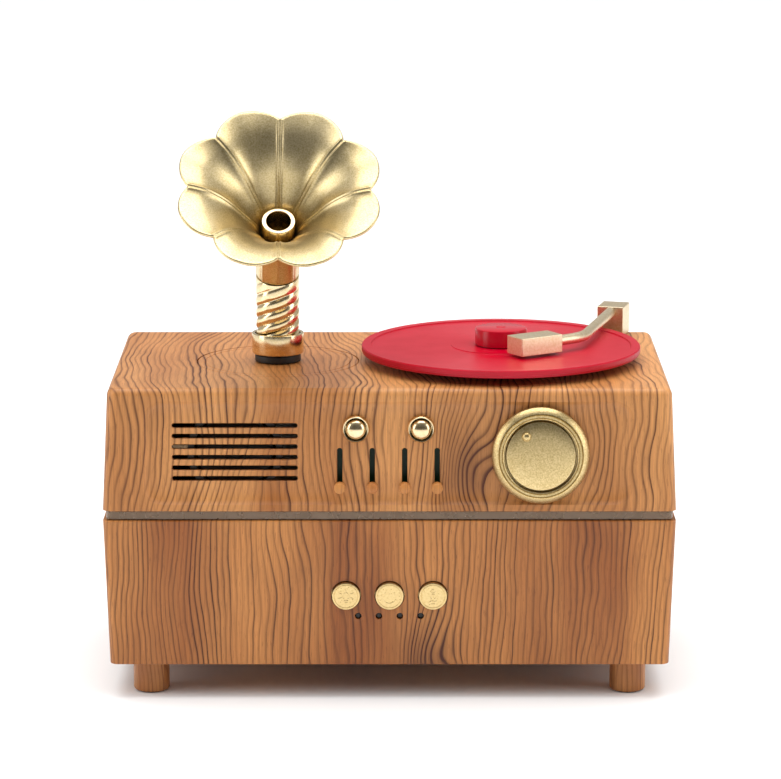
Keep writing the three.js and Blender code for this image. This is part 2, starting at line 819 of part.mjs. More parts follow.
const arm = new THREE.Group();
arm.position.set(armPivotX, armPivotY, caseTop);
model.add(arm);
const armLow = fit + 0.1;
const armTop = armLow + armBlockHeight;
const tubeHeight = armTop - armTubeDrop;
const blockYaw = THREE.MathUtils.degToRad(armYaw);
const pivotToRecordX = recordX - armPivotX;
const pivotToRecordY = recordY - armPivotY;
const nose = new THREE.Vector3(pivotToRecordX + armNose[0], pivotToRecordY + armNose[1], tubeHeight);
const bend = new THREE.Vector3(pivotToRecordX + armBend[0], pivotToRecordY + armBend[1], tubeHeight);
const blockFace = new THREE.Vector3(0, -armBlockDepth / 2, tubeHeight)
  .applyAxisAngle(new THREE.Vector3(0, 0, 1), blockYaw);

// A point on the way from `from` to `to`, so many millimetres along.
function towards(from, to, distance) {
  return from.clone().add(to.clone().sub(from).setLength(distance));
}

// The arm's centre line, running past both ends by the depth of its seats.
function armRoute(seat) {
  const ease = 5;
  const turn = new THREE.QuadraticBezierCurve3(
    towards(bend, nose, ease),
    bend,
    towards(bend, blockFace, ease),
  );
  return [towards(nose, bend, -seat), ...turn.getPoints(5), towards(blockFace, bend, -seat)];
}

// Sweeps a round section along a list of points as one closed solid.
function sweep(points, outline, steps, curveSegments) {
  const extrudePath = new THREE.CatmullRomCurve3(points, false, 'centripetal');
  return new THREE.ExtrudeGeometry(outline, { extrudePath, steps, curveSegments });
}

function disc(radius, hole = 0) {
  const outline = new THREE.Shape();
  outline.absarc(0, 0, radius, 0, Math.PI * 2);
  if (hole > 0) {
    const bore = new THREE.Path();
    bore.absarc(0, 0, hole, 0, Math.PI * 2, true);
    outline.holes.push(bore);
  }
  return outline;
}

add(arm, 'tonearm_tube', 'pale_gold', sweep(armRoute(armSeat - fit), disc(armTubeRadius), 14, 5));
const armBores = sweep(armRoute(armSeat), disc(armTubeRadius + fit), 14, 5);
const blockShape = roundedRectangle(armBlockWidth, armBlockDepth, 0.5);
const blockBody = slab(blockShape, armLow, armTop, 2).rotateZ(blockYaw);
add(arm, 'tonearm_block', 'pale_gold', shape([blockBody], [
  rod(0, 0, armPinRadius + fit, armLow - 1, armPinRise + fit, 10),
  armBores,
]));
const headshellPlan = roundedRectangle(headshellLength, headshellWidth, 0.4);
const headshellTurn = THREE.MathUtils.degToRad(headshellYaw);
const headshellBody = slab(
  headshellPlan,
  tubeHeight - headshellHeight / 2,
  tubeHeight + headshellHeight / 2,
  2,
);
headshellBody.translate(-headshellLength / 2, 0, 0).rotateZ(headshellTurn);
headshellBody.translate(nose.x, nose.y, 0);
add(arm, 'headshell', 'pale_gold', shape([headshellBody], [armBores]));
add(arm, 'tonearm_pin', 'steel', rod(0, 0, armPinRadius, -armPinSeat, armPinRise, 10));

// ---------------------------------------------------------------- loudspeaker

model.add(upperFront);
const speaker = new THREE.Group();
speaker.position.set(slotCentreX, panelMid, -caseWall);
upperFront.add(speaker);
const flange = 1.5;
const basketBack = -speakerDepth + 5.5;
add(speaker, 'speaker_frame', 'black', turned([
  [0, -speakerDepth],
  [magnetRadius, -speakerDepth],
  [magnetRadius, basketBack],
  [speakerRadius - 0.8, -fit - flange],
  [speakerRadius, -fit - flange],
  [speakerRadius, -fit],
  [speakerConeRadius + 1, -fit],
  [speakerConeRadius + 0.8, -fit - flange],
  [magnetRadius - 1.2, basketBack + 0.4],
  [0, basketBack + 0.4],
]));
add(speaker, 'speaker_cone', 'black', turned([
  [0, -5],
  [4, -6.2],
  [speakerConeRadius - 0.4, -1.9],
  [speakerConeRadius, -1.9],
  [speakerConeRadius, -1.4],
  [speakerConeRadius - 0.6, -1.4],
  [4, -5.6],
  [2.4, -4.7],
  [0, -4.3],
]));

// ---------------------------------------------------------------- dome buttons

const recessFace = panelFloor + fit;
const sleeveEnd = -caseWall - 1.2;
const domeNames = ['left', 'right'];
domeX.forEach((x, i) => {
  const place = new THREE.Group();
  place.position.set(x, domeHigh, 0);
  upperFront.add(place);
  add(place, `dome_ring_${domeNames[i]}`, 'pale_gold', turnedRing([
    [domeRadius + fit, sleeveEnd],
    [domeSleeveRadius, sleeveEnd],
    [domeSleeveRadius, recessFace],
    [domeRingRadius, recessFace],
    [domeRingRadius, recessFace + 1.2],
    [domeRingRadius - 0.5, recessFace + 1.7],
    [domeRadius + fit, recessFace + 1.7],
  ], 16));
  const crown = [];
  for (let step = 0; step <= 3; step += 1) {
    const angle = (step / 3) * (Math.PI / 2);
    crown.push([domeRadius * Math.cos(angle), 0.4 + (domeRise - 0.4) * Math.sin(angle)]);
  }
  crown[3][0] = 0;
  add(place, `dome_button_${domeNames[i]}`, 'pale_gold', turned([
    [0, sleeveEnd - fit - 1.2],
    [domeSleeveRadius, sleeveEnd - fit - 1.2],
    [domeSleeveRadius, sleeveEnd - fit],
    [domeRadius, sleeveEnd - fit],
    ...crown,
  ], 16));
});

// ---------------------------------------------------------------- sliders and their board

const leverEnd = controlBoardFace + 0.9;
const slidePotFront = controlBoardFace + 2.9;
sliderX.forEach((x, i) => {
  const knob = turned([
    [0, recessFace],
    [sliderPegRadius, recessFace],
    [sliderPegRadius, sliderPegRise - 0.7],
    [sliderPegRadius * 0.7, sliderPegRise - 0.15],
    [0, sliderPegRise],
  ], 12);
  const half = sliderLever / 2;
  const lever = box(-half, half, -half, half, leverEnd, recessFace + 0.5);
  const peg = add(upperFront, `slider_peg_${i + 1}`, 'upper_wood', shape([knob, lever]));
  peg.position.set(x, sliderRest, 0);
});

const boardHalf = 22;
const boardLow = 3;
const boardHigh = 29.5;
const domeSwitchFace = sleeveEnd - fit - 1.2 - domeTravel - fit;
const slidePots = sliderX.map((x) => box(
  x - 2.6, x + 2.6,
  sliderRest - 3, sliderSlotTop + 1,
  controlBoardFace - 0.5, slidePotFront,
));
const slidePotGrooves = sliderX.map((x) => box(
  x - sliderSlotWidth / 2, x + sliderSlotWidth / 2,
  sliderRest - 1.4, sliderSlotTop,
  leverEnd - fit, slidePotFront + 1,
));
const domeSwitches = domeX.map((x) => box(
  x - 2.5, x + 2.5,
  domeHigh - 2.5, domeHigh + 2.5,
  controlBoardFace - 0.5, domeSwitchFace,
));
add(upperFront, 'control_board', 'board', shape([
  box(-boardHalf, boardHalf, boardLow, boardHigh, controlBoardFace - boardThickness, controlBoardFace),
  ...slidePots,
  ...domeSwitches,
], slidePotGrooves));

// ---------------------------------------------------------------- dial

const dial = new THREE.Group();
dial.position.set(dialX, dialHigh, 0);
upperFront.add(dial);
const dialFloor = recessFace + 1.5;
const dialPocket = dialCapRadius + fit;
add(dial, 'dial_ring', 'gold', turnedRing([
  [dialShaftRadius + fit, recessFace],
  [dialSkirt, recessFace],
  [dialSkirt + 0.4, fit],
  [dialRadius, fit],
  [dialRadius, dialRise - 1.8],
  [dialFaceRadius, dialRise],
  [dialPocket, dialRise],
  [dialPocket, dialFloor],
  [dialShaftRadius + fit, dialFloor],
], 32));
const capLow = dialFloor + fit;
const beadTurn = THREE.MathUtils.degToRad(beadAngle);
const bead = new THREE.SphereGeometry(beadRadius, 8, 6);
bead.translate(beadOrbit * Math.cos(beadTurn), beadOrbit * Math.sin(beadTurn), dialRise - 0.1);
add(dial, 'dial_cap', 'gold', shape([
  turned([
    [0, capLow],
    [dialCapRadius, capLow],
    [dialCapRadius, dialRise - 0.8],
    [dialCapRadius * 0.6, dialRise],
    [0, dialRise + 0.2],
  ], 32),
  bead,
]));
const potFace = -caseWall - 1.3;
const shaftLow = potFace - potDepth + 2;
add(dial, 'dial_shaft', 'steel', rod(0, 0, dialShaftRadius, shaftLow, dialFloor, 14));
add(dial, 'dial_potentiometer', 'steel', shape([
  rod(0, 0, potRadius, potFace - potDepth, potFace, 16),
  rod(0, 0, dialBushRadius, potFace - 1, panelFloor, 14),
], [rod(0, 0, dialShaftRadius + fit, shaftLow - fit, panelFloor + 1, 14)]));

// ---------------------------------------------------------------- lower buttons

model.add(lowerFront);
const pressBack = -caseWall - fit;
const pressFlange = 1.2;
const pressStem = pressBack - pressFlange - 2.7;
pressX.forEach((x, i) => {
  const button = add(lowerFront, `${pressNames[i]}_button`, 'pale_gold', turned([
    [0, pressStem],
    [1.5, pressStem],
    [1.5, pressBack - pressFlange],
    [pressRadius + 1, pressBack - pressFlange],
    [pressRadius + 1, pressBack],
    [pressRadius, pressBack],
    [pressRadius, pressRise - 0.35],
    [pressRadius - 0.35, pressRise],
    [0, pressRise],
  ], 16));
  button.position.set(x, -pressDrop, 0);
});

const switchFace = pressStem - pressTravel - fit;
const buttonBoardFace = switchFace - 1.7;
const switches = pressX.map((x) => box(
  x - 3, x + 3, -pressDrop - 3, -pressDrop + 3, buttonBoardFace - 0.5, switchFace,
));
add(lowerFront, 'button_board', 'board', shape([
  box(-21, 21, -pressDrop - 11, -pressDrop + 7, buttonBoardFace - boardThickness, buttonBoardFace),
  ...switches,
]));
const pipeBar = -caseWall - fit - 1.6;
add(lowerFront, 'indicator_lights', 'black', shape([
  box(ledX[0] - 2, ledX[3] + 2, -ledDrop - 2.2, -ledDrop + 0.9, pipeBar, pipeBar + 1.6),
  ...ledX.map((x) => rod(x, -ledDrop, ledRadius - fit, pipeBar + 0.5, -0.8, 8)),
]));

// ---------------------------------------------------------------- blower and air duct

const blower = new THREE.Group();
blower.position.set(blowerX, blowerY, floorTop + fit);
model.add(blower);
const half = blowerSide / 2;
const outletHeight = blowerHeight / 2;
const outlet = new THREE.CylinderGeometry(ductBore + fit, ductBore + fit, half, 10)
  .rotateZ(Math.PI / 2).translate(-half, 0, outletHeight);
add(blower, 'blower_housing', 'black', shape([
  slab(roundedRectangle(blowerSide, blowerSide, 3), 0, blowerHeight),
], [
  rod(0, 0, blowerBore, blowerWall, blowerHeight - blowerWall, 24),
  rod(0, 0, intakeRadius, -1, blowerWall + 1, 20),
  outlet,
]));
const impellerLow = blowerWall + fit;
const impellerTop = blowerHeight - blowerWall - fit;
const blades = [];
for (let i = 0; i < bladeCount; i += 1) {
  const blade = box(5, impellerRadius - 1, -0.4, 0.4, impellerLow, impellerTop - 0.5);
  blades.push(blade.rotateZ((i / bladeCount) * Math.PI * 2));
}
add(blower, 'blower_impeller', 'black', shape([
  rod(0, 0, impellerRadius, impellerTop - 1, impellerTop, 20),
  rod(0, 0, 5.5, impellerLow, impellerTop - 0.5, 12),
  ...blades,
]));

const outletX = blowerX - half - fit;
const outletZ = floorTop + fit + outletHeight;
const portX = lidX + tankRadius;
const ductPoints = [
  new THREE.Vector3(outletX, blowerY, outletZ),
  new THREE.Vector3(outletX - 1, blowerY, outletZ),
  new THREE.Vector3(outletX - 8, blowerY, outletZ + 1),
  new THREE.Vector3(outletX - 18, blowerY + 1, outletZ + 14),
  new THREE.Vector3(portX + 11, lidY - 3, airPortHeight - 18),
  new THREE.Vector3(portX + 6, lidY, airPortHeight - 1),
  new THREE.Vector3(portX, lidY, airPortHeight),
  new THREE.Vector3(portX - tankWall, lidY, airPortHeight),
];
add(model, 'air_duct', 'clear', sweep(ductPoints, disc(ductRadius, ductBore), 18, 4));

// ---------------------------------------------------------------- boards and inlet

const mainTop = mainBoardBase + boardThickness;
const chips = [
  box(9, 21, 8, 20, -0.5, 1.6),
  box(27, 33, 6, 14, -0.5, 1.4),
  rod(47, 8, 3, -0.5, 7, 8),
  rod(55, 14, 2.5, -0.5, 6, 8),
  box(7, 19, 26, 32, -0.5, 4),
].map((chip) => chip.translate(mainBoardX[0], mainBoardY[0], mainTop));
add(model, 'main_board', 'board', shape([
  box(mainBoardX[0], mainBoardX[1], mainBoardY[0], mainBoardY[1], mainBoardBase, mainTop),
  ...chips,
]));
const inletFace = caseDepth / 2 - lowerDraft * (splitLow - inletBase) - 0.4;
const inletWall = 0.5;
const inletDepth = 9;
const inletMid = inletBase + inletHeight / 2;
add(model, 'power_inlet', 'steel', shape([
  box(
    inletX - inletWidth / 2, inletX + inletWidth / 2,
    inletFace - inletDepth, inletFace,
    inletBase, inletBase + inletHeight,
  ),
], [
  box(
    inletX - inletWidth / 2 + inletWall, inletX + inletWidth / 2 - inletWall,
    inletFace - inletDepth + 1.5, inletFace + 1,
    inletMid + 0.4, inletBase + inletHeight - inletWall,
  ),
]));

// Stand the whole object over the middle of its own floor plan.
model.updateMatrixWorld(true);
const plan = new THREE.Box3().setFromObject(model, true);
model.position.y = -(plan.min.y + plan.max.y) / 2;
model.position.x = -(plan.min.x + plan.max.x) / 2;

export default model;
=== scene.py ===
import json
import math

import bmesh
import bpy
from mathutils import Matrix, Vector


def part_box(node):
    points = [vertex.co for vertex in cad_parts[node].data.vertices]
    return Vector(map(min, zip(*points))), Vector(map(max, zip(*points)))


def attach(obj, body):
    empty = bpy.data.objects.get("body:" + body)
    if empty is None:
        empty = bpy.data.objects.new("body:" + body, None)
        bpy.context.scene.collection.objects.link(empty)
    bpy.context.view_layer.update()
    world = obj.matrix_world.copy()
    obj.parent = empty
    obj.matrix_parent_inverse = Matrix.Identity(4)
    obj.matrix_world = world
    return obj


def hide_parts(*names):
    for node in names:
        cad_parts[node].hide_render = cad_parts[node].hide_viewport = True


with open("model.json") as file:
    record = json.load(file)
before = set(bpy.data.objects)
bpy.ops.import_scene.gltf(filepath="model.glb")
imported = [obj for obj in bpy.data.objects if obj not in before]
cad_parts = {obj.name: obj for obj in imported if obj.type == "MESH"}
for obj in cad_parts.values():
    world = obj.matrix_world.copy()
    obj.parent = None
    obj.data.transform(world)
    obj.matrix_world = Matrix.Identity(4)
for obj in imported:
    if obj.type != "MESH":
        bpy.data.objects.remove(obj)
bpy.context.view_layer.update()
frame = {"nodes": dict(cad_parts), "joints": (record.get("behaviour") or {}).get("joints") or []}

scene = bpy.context.scene
mm = 0.001


# ------------------------------------------------------------------ studio
# A white table in a white room, lit by one large soft box overhead, two upright ones at
# the sides and a dark front, so that the gold has something dark and something bright to show.

scene.view_settings.view_transform = "Standard"


def link(tree, value, socket):
    if isinstance(value, bpy.types.NodeSocket):
        tree.links.new(value, socket)
    else:
        socket.default_value = value


def node(tree, kind, inputs=(), **settings):
    made = tree.nodes.new(kind)
    for key, value in settings.items():
        setattr(made, key, value)
    for key, value in dict(inputs).items():
        link(tree, value, made.inputs[key])
    return made


def calculate(tree, operation, a, b=0.0, clamp=False):
    made = node(tree, "ShaderNodeMath", {0: a, 1: b}, operation=operation, use_clamp=clamp)
    return made.outputs[0]


def mix(tree, factor, a, b, blend="MIX"):
    made = node(tree, "ShaderNodeMix", data_type="RGBA", blend_type=blend)
    link(tree, factor, made.inputs[0])
    link(tree, a, made.inputs[6])
    link(tree, b, made.inputs[7])
    return made.outputs[2]


def tint(code):
    """A colour written as on a paint card, turned into scene light."""
    parts = [int(code[i:i + 2], 16) / 255 for i in (1, 3, 5)]
    linear = [c / 12.92 if c <= 0.04045 else ((c + 0.055) / 1.055) ** 2.4 for c in parts]
    return (*linear, 1.0)


room = bpy.data.worlds.new("white_room")
room.use_nodes = True
scene.world = room
tree = room.node_tree
tree.nodes.clear()
direction = node(tree, "ShaderNodeTexCoord").outputs["Generated"]
ahead = node(tree, "ShaderNodeSeparateXYZ", {0: direction}).outputs["Y"]
front_dark = node(tree, "ShaderNodeMapRange", {
    "Value": ahead, "From Min": -0.95, "From Max": 0.15, "To Min": 0.12, "To Max": 0.5,
}, interpolation_type="SMOOTHSTEP").outputs[0]
seen = node(tree, "ShaderNodeLightPath").outputs["Is Camera Ray"]
strength = calculate(tree, "MAXIMUM", front_dark, seen)
light = node(tree, "ShaderNodeBackground", {"Color": (1, 1, 1, 1), "Strength": strength})
output = node(tree, "ShaderNodeOutputWorld")
tree.links.new(light.outputs[0], output.inputs["Surface"])


def soft_box(name, place, aim, width, height, power, shines=True):
    data = bpy.data.lights.new(name, "AREA")
    data.shape = "RECTANGLE"
    data.size, data.size_y, data.energy = width, height, power
    lamp = bpy.data.objects.new(name, data)
    scene.collection.objects.link(lamp)
    lamp.location = place
    lamp.rotation_euler = (Vector(aim) - Vector(place)).to_track_quat("-Z", "Y").to_euler()
    lamp.visible_glossy = shines
    return lamp


soft_box("overhead_box", (0, 0.05, 0.9), (0, 0, 0.08), 0.9, 0.6, 5)
soft_box("left_box", (-0.75, -0.2, 0.35), (0, 0, 0.1), 0.35, 0.6, 1.6)
soft_box("right_box", (0.75, -0.2, 0.35), (0, 0, 0.1), 0.35, 0.6, 1.6)

ceiling = bpy.data.lights.new("ceiling_glow", "SUN")
ceiling.energy = 2.3
ceiling.angle = math.radians(100)
glow = bpy.data.objects.new("ceiling_glow", ceiling)
scene.collection.objects.link(glow)
glow.rotation_euler = (math.radians(8), 0, 0)
glow.visible_glossy = False

table_paint = bpy.data.materials.new("table_white")
table_paint.use_nodes = True
tree = table_paint.node_tree
shader = tree.nodes["Principled BSDF"]
where = node(tree, "ShaderNodeTexCoord").outputs["Object"]
mottle = node(tree, "ShaderNodeTexNoise", {"Vector": where, "Scale": 40.0}).outputs[0]
link(tree, mix(tree, mottle, (0.9, 0.9, 0.9, 1), (0.92, 0.92, 0.92, 1)), shader.inputs["Base Color"])
shader.inputs["Roughness"].default_value = 0.85
shader.inputs["Specular IOR Level"].default_value = 0.2

bm = bmesh.new()
bmesh.ops.create_grid(bm, x_segments=1, y_segments=1, size=6)
mesh = bpy.data.meshes.new("table")
bm.to_mesh(mesh)
bm.free()
table = bpy.data.objects.new("table", mesh)
scene.collection.objects.link(table)
mesh.materials.append(table_paint)

camera_data = bpy.data.cameras.new("camera")
camera_data.sensor_width = 36
camera_data.lens = 167.06
camera = bpy.data.objects.new("camera", camera_data)
scene.collection.objects.link(camera)
camera.location = (0.0003, -1.0884, 0.3091)
camera.rotation_euler = (math.radians(78.387), 0, 0)
scene.camera = camera


# ------------------------------------------------------------------ upper case
# A moulded cover with leaning walls and a wood-grain film wrapped over it, pressed in across
# the front for the controls, and cut for the speaker, sliders, buttons, dial, tank lid and spindle.

def wood_film():
    """Grain lines that run upright on the walls and front to back on the top."""
    group = bpy.data.node_groups.new("wood_film", "ShaderNodeTree")
    face = group.interface
    for name, kind, value in (
        ("Spacing", "NodeSocketFloat", 1.9), ("Sway", "NodeSocketFloat", 14.0),
        ("Shift", "NodeSocketFloat", 0.0), ("Contrast", "NodeSocketFloat", 0.8),
        ("Pale", "NodeSocketColor", (0.5, 0.3, 0.15, 1)), ("Warm", "NodeSocketColor", (0.4, 0.2, 0.1, 1)),
        ("Dark", "NodeSocketColor", (0.2, 0.1, 0.05, 1)), ("Knot Across", "NodeSocketFloat", 22.0),
        ("Knot Along", "NodeSocketFloat", 30.0), ("Knot Size", "NodeSocketFloat", 9.0),
    ):
        face.new_socket(name=name, in_out="INPUT", socket_type=kind).default_value = value
    for name, kind in (("Color", "NodeSocketColor"), ("Line", "NodeSocketFloat"), ("Height", "NodeSocketFloat")):
        face.new_socket(name=name, in_out="OUTPUT", socket_type=kind)
    given = node(group, "NodeGroupInput").outputs
    coordinates = node(group, "ShaderNodeTexCoord").outputs
    in_mm = node(group, "ShaderNodeVectorMath", {0: coordinates["Object"]}, operation="SCALE")
    in_mm.inputs["Scale"].default_value = 1000
    x, y, z = node(group, "ShaderNodeSeparateXYZ", {0: in_mm.outputs[0]}).outputs
    facing = node(group, "ShaderNodeSeparateXYZ", {0: coordinates["Normal"]}).outputs["X"]
    side = calculate(group, "GREATER_THAN", calculate(group, "ABSOLUTE", facing), 0.72)
    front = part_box("lower_case")[0].y / mm
    round_corner = calculate(group, "ADD", calculate(group, "ABSOLUTE", x), calculate(group, "SUBTRACT", y, front))
    around = calculate(group, "MULTIPLY", calculate(group, "SIGN", x), round_corner)

    def choose(factor, a, b):
        made = node(group, "ShaderNodeMix", data_type="FLOAT")
        for socket, value in zip(made.inputs[:1] + made.inputs[2:4], (factor, a, b)):
            link(group, value, socket)
        return made.outputs[0]

    across = choose(side, x, around)
    along = calculate(group, "ADD", z, choose(side, y, front))

    def drift(per_across, per_along, seed, detail=2.0):
        """Slow or fast noise, stretched along the grain, centred on nought."""
        place = node(group, "ShaderNodeCombineXYZ", {
            0: calculate(group, "MULTIPLY", across, per_across),
            1: calculate(group, "MULTIPLY", along, per_along),
            2: calculate(group, "ADD", given["Shift"], seed),
        }).outputs[0]
        noise = node(group, "ShaderNodeTexNoise", {"Vector": place, "Scale": 1.0, "Detail": detail})
        return calculate(group, "SUBTRACT", noise.outputs[0], 0.5)

    sway = calculate(group, "MULTIPLY", drift(0.017, 0.011, 0.0), given["Sway"])
    ripple = calculate(group, "MULTIPLY", drift(0.06, 0.035, 7.0), 5.0)
    off_across = calculate(group, "DIVIDE", calculate(group, "SUBTRACT", across, given["Knot Across"]), given["Knot Size"])
    off_along = calculate(group, "DIVIDE", calculate(group, "SUBTRACT", along, given["Knot Along"]), given["Knot Size"])
    long_off = calculate(group, "MULTIPLY", off_along, 0.55)
    apart = calculate(
        group, "ADD",
        calculate(group, "MULTIPLY", off_across, off_across),
        calculate(group, "MULTIPLY", long_off, long_off),
    )
    knot = calculate(group, "EXPONENT", calculate(group, "MULTIPLY", apart, -1.0))
    swell = calculate(group, "MULTIPLY", knot, given["Knot Size"])
    bent = calculate(group, "ADD", calculate(group, "ADD", across, sway), calculate(group, "ADD", ripple, swell))
    ring = calculate(group, "DIVIDE", bent, given["Spacing"])
    within = calculate(group, "FRACT", ring)
    number = calculate(group, "FLOOR", ring)
    chance = node(group, "ShaderNodeTexWhiteNoise", {"W": number}, noise_dimensions="1D").outputs["Value"]
    late = node(group, "ShaderNodeValToRGB", {0: within})
    stops = late.color_ramp.elements
    stops[0].position, stops[0].color = 0.0, (0.75, 0.75, 0.75, 1)
    stops[1].position, stops[1].color = 1.0, (0.95, 0.95, 0.95, 1)
    for position, value in ((0.14, 0.12), (0.45, 0.0), (0.72, 0.22), (0.9, 0.85)):
        stops.new(position).color = (value, value, value, 1)
    weight = calculate(group, "ADD", calculate(group, "MULTIPLY", chance, 0.8), 0.25)
    worn = calculate(group, "ADD", calculate(group, "MULTIPLY", drift(0.1, 0.03, 3.0), 1.2), 0.85)
    line = calculate(group, "MULTIPLY", late.outputs[0], calculate(group, "MULTIPLY", weight, worn), clamp=True)
    fibre = drift(2.6, 0.09, 11.0, 3.0)
    pore = calculate(group, "GREATER_THAN", drift(4.5, 0.3, 17.0, 1.0), 0.17)
    broad = calculate(group, "ADD", calculate(group, "MULTIPLY", drift(0.045, 0.008, 23.0), 2.6), 0.5, clamp=True)
    ground = mix(group, broad, given["Pale"], given["Warm"])
    shade_knot = calculate(group, "MULTIPLY", knot, 0.55)
    depth = calculate(group, "ADD", calculate(group, "MULTIPLY", line, given["Contrast"]), shade_knot, clamp=True)
    grained = mix(group, depth, ground, given["Dark"])
    streak = calculate(group, "ADD", calculate(group, "MULTIPLY", fibre, 0.75), 1.0)
    streaked = mix(group, 1.0, grained, node(group, "ShaderNodeCombineColor", {
        0: streak, 1: streak, 2: streak}).outputs[0], "MULTIPLY")
    pored = mix(group, calculate(group, "MULTIPLY", pore, 0.3), streaked, given["Dark"])
    height = calculate(group, "SUBTRACT", calculate(group, "MULTIPLY", fibre, 0.5), line)
    given_back = node(group, "NodeGroupOutput")
    link(group, pored, given_back.inputs["Color"])
    link(group, line, given_back.inputs["Line"])
    link(group, height, given_back.inputs["Height"])
    return group


wood_print = wood_film()


def wood(name, **values):
    material = bpy.data.materials.new(name)
    material.use_nodes = True
    tree = material.node_tree
    shader = tree.nodes["Principled BSDF"]
    film = node(tree, "ShaderNodeGroup", node_tree=wood_print)
    for key, value in values.items():
        film.inputs[key.replace("_", " ")].default_value = value
    rough = calculate(tree, "ADD", calculate(tree, "MULTIPLY", film.outputs["Line"], 0.14), 0.4)
    bump = node(tree, "ShaderNodeBump", {"Height": film.outputs["Height"], "Strength": 0.12, "Distance": 0.0001})
    link(tree, film.outputs["Color"], shader.inputs["Base Color"])
    link(tree, rough, shader.inputs["Roughness"])
    link(tree, bump.outputs[0], shader.inputs["Normal"])
    shader.inputs["Specular IOR Level"].default_value = 0.4
    return material


upper_wood = wood(
    "upper_wood", Spacing=1.9, Sway=34.0, Shift=1.3, Contrast=1.25,
    Pale=tint("#cd9055"), Warm=tint("#9e5f2b"), Dark=tint("#4e230a"),
    Knot_Across=23.0, Knot_Along=27.0, Knot_Size=8.0,
)


def to_piece(name, bm, material, body, slot, *nodes):
    """Makes a finished piece of a bmesh that is already in its place."""
    mesh = bpy.data.meshes.new(name)
    bm.to_mesh(mesh)
    bm.free()
    mesh.materials.append(material)
    piece = bpy.data.objects.new(name, mesh)
    scene.collection.objects.link(piece)
    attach(piece, body)
    if nodes:
        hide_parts(*nodes)
    return piece


def soften(bm, width, segments=3, sharper_than=35):
    """Rounds every edge that is sharper than the given angle."""
    limit = math.radians(sharper_than)
    edges = [edge for edge in bm.edges if edge.calc_face_angle(0) > limit]
    bmesh.ops.bevel(
        bm, geom=edges, offset=width, offset_type="OFFSET", segments=segments,
        profile=0.5, affect="EDGES", clamp_overlap=True, material=-1,
    )


def shade(bm, crease=30):
    for face in bm.faces:
        face.smooth = True
    for edge in bm.edges:
        edge.smooth = edge.calc_face_angle(0) < math.radians(crease)


def even_out(piece):
    """Keeps the flat faces flat beside their rounded edges."""
    modifier = piece.modifiers.new("flat_faces", "WEIGHTED_NORMAL")
    modifier.keep_sharp = True
    modifier.weight = 100


def tapered_box(low, high, top_lean):
    """A block whose walls lean in by `top_lean` at the top."""
    bm = bmesh.new()
    bmesh.ops.create_cube(bm, size=1)
    bmesh.ops.scale(bm, vec=high - low, verts=bm.verts)
    bmesh.ops.translate(bm, vec=(low + high) / 2, verts=bm.verts)
    middle = (low + high) / 2
    for vert in bm.verts:
        if (vert.co.z > middle.z) == (top_lean > 0):
            vert.co.x -= math.copysign(abs(top_lean), vert.co.x - middle.x)
            vert.co.y -= math.copysign(abs(top_lean), vert.co.y - middle.y)
    return bm


def round_walls(bm, corner):
    upright = [edge for edge in bm.edges if abs(edge.verts[0].co.z - edge.verts[1].co.z) > 5 * mm]
    bmesh.ops.bevel(
        bm, geom=upright, offset=corner, offset_type="OFFSET", segments=8,
        profile=0.5, affect="EDGES", clamp_overlap=True, material=-1,
    )


def round_rim(bm, level, radius, segments=6):
    rim = [edge for edge in bm.edges if all(abs(vert.co.z - level) < 0.01 * mm for vert in edge.verts)]
    bmesh.ops.bevel(
        bm, geom=rim, offset=radius, offset_type="OFFSET", segments=segments,
        profile=0.5, affect="EDGES", clamp_overlap=True, material=-1,
    )


def plug(width, height, corner, rise, steps, place):
    """A cutter with a rounded outline: `rise` out of the face, then in by (inset, depth) steps."""
    bm = bmesh.new()
    bmesh.ops.create_grid(bm, x_segments=1, y_segments=1, size=0.5)
    bmesh.ops.scale(bm, vec=(width, height, 1), verts=bm.verts)
    bmesh.ops.bevel(
        bm, geom=list(bm.verts), offset=corner, offset_type="OFFSET", segments=8,
        profile=0.5, affect="VERTICES", clamp_overlap=True, material=-1,
    )
    bm.faces.ensure_lookup_table()
    base = bm.faces[0]
    if base.normal.z > 0:
        bmesh.ops.reverse_faces(bm, faces=[base])
    for inset, depth in steps:
        bmesh.ops.inset_region(
            bm, faces=[base], thickness=inset, depth=depth, use_even_offset=True, use_boundary=True,
        )
    mouth = [edge for edge in bm.edges if edge.is_boundary]
    raised = bmesh.ops.extrude_edge_only(bm, edges=mouth)["geom"]
    bmesh.ops.translate(
        bm, vec=(0, 0, rise), verts=[part for part in raised if isinstance(part, bmesh.types.BMVert)],
    )
    bmesh.ops.holes_fill(bm, edges=[edge for edge in bm.edges if edge.is_boundary], sides=0)
    bmesh.ops.recalc_face_normals(bm, faces=bm.faces)
    if bm.calc_volume(signed=True) < 0:
        bmesh.ops.reverse_faces(bm, faces=bm.faces)
    bmesh.ops.transform(bm, matrix=place, verts=bm.verts)
    return bm


def drill(radius, low, high, place, segments=48):
    bm = bmesh.new()
    middle = Matrix.Translation((0, 0, (low + high) / 2))
    bmesh.ops.create_cone(
        bm, cap_ends=True, segments=segments, radius1=radius, radius2=radius,
        depth=high - low, matrix=place @ middle,
    )
    return bm


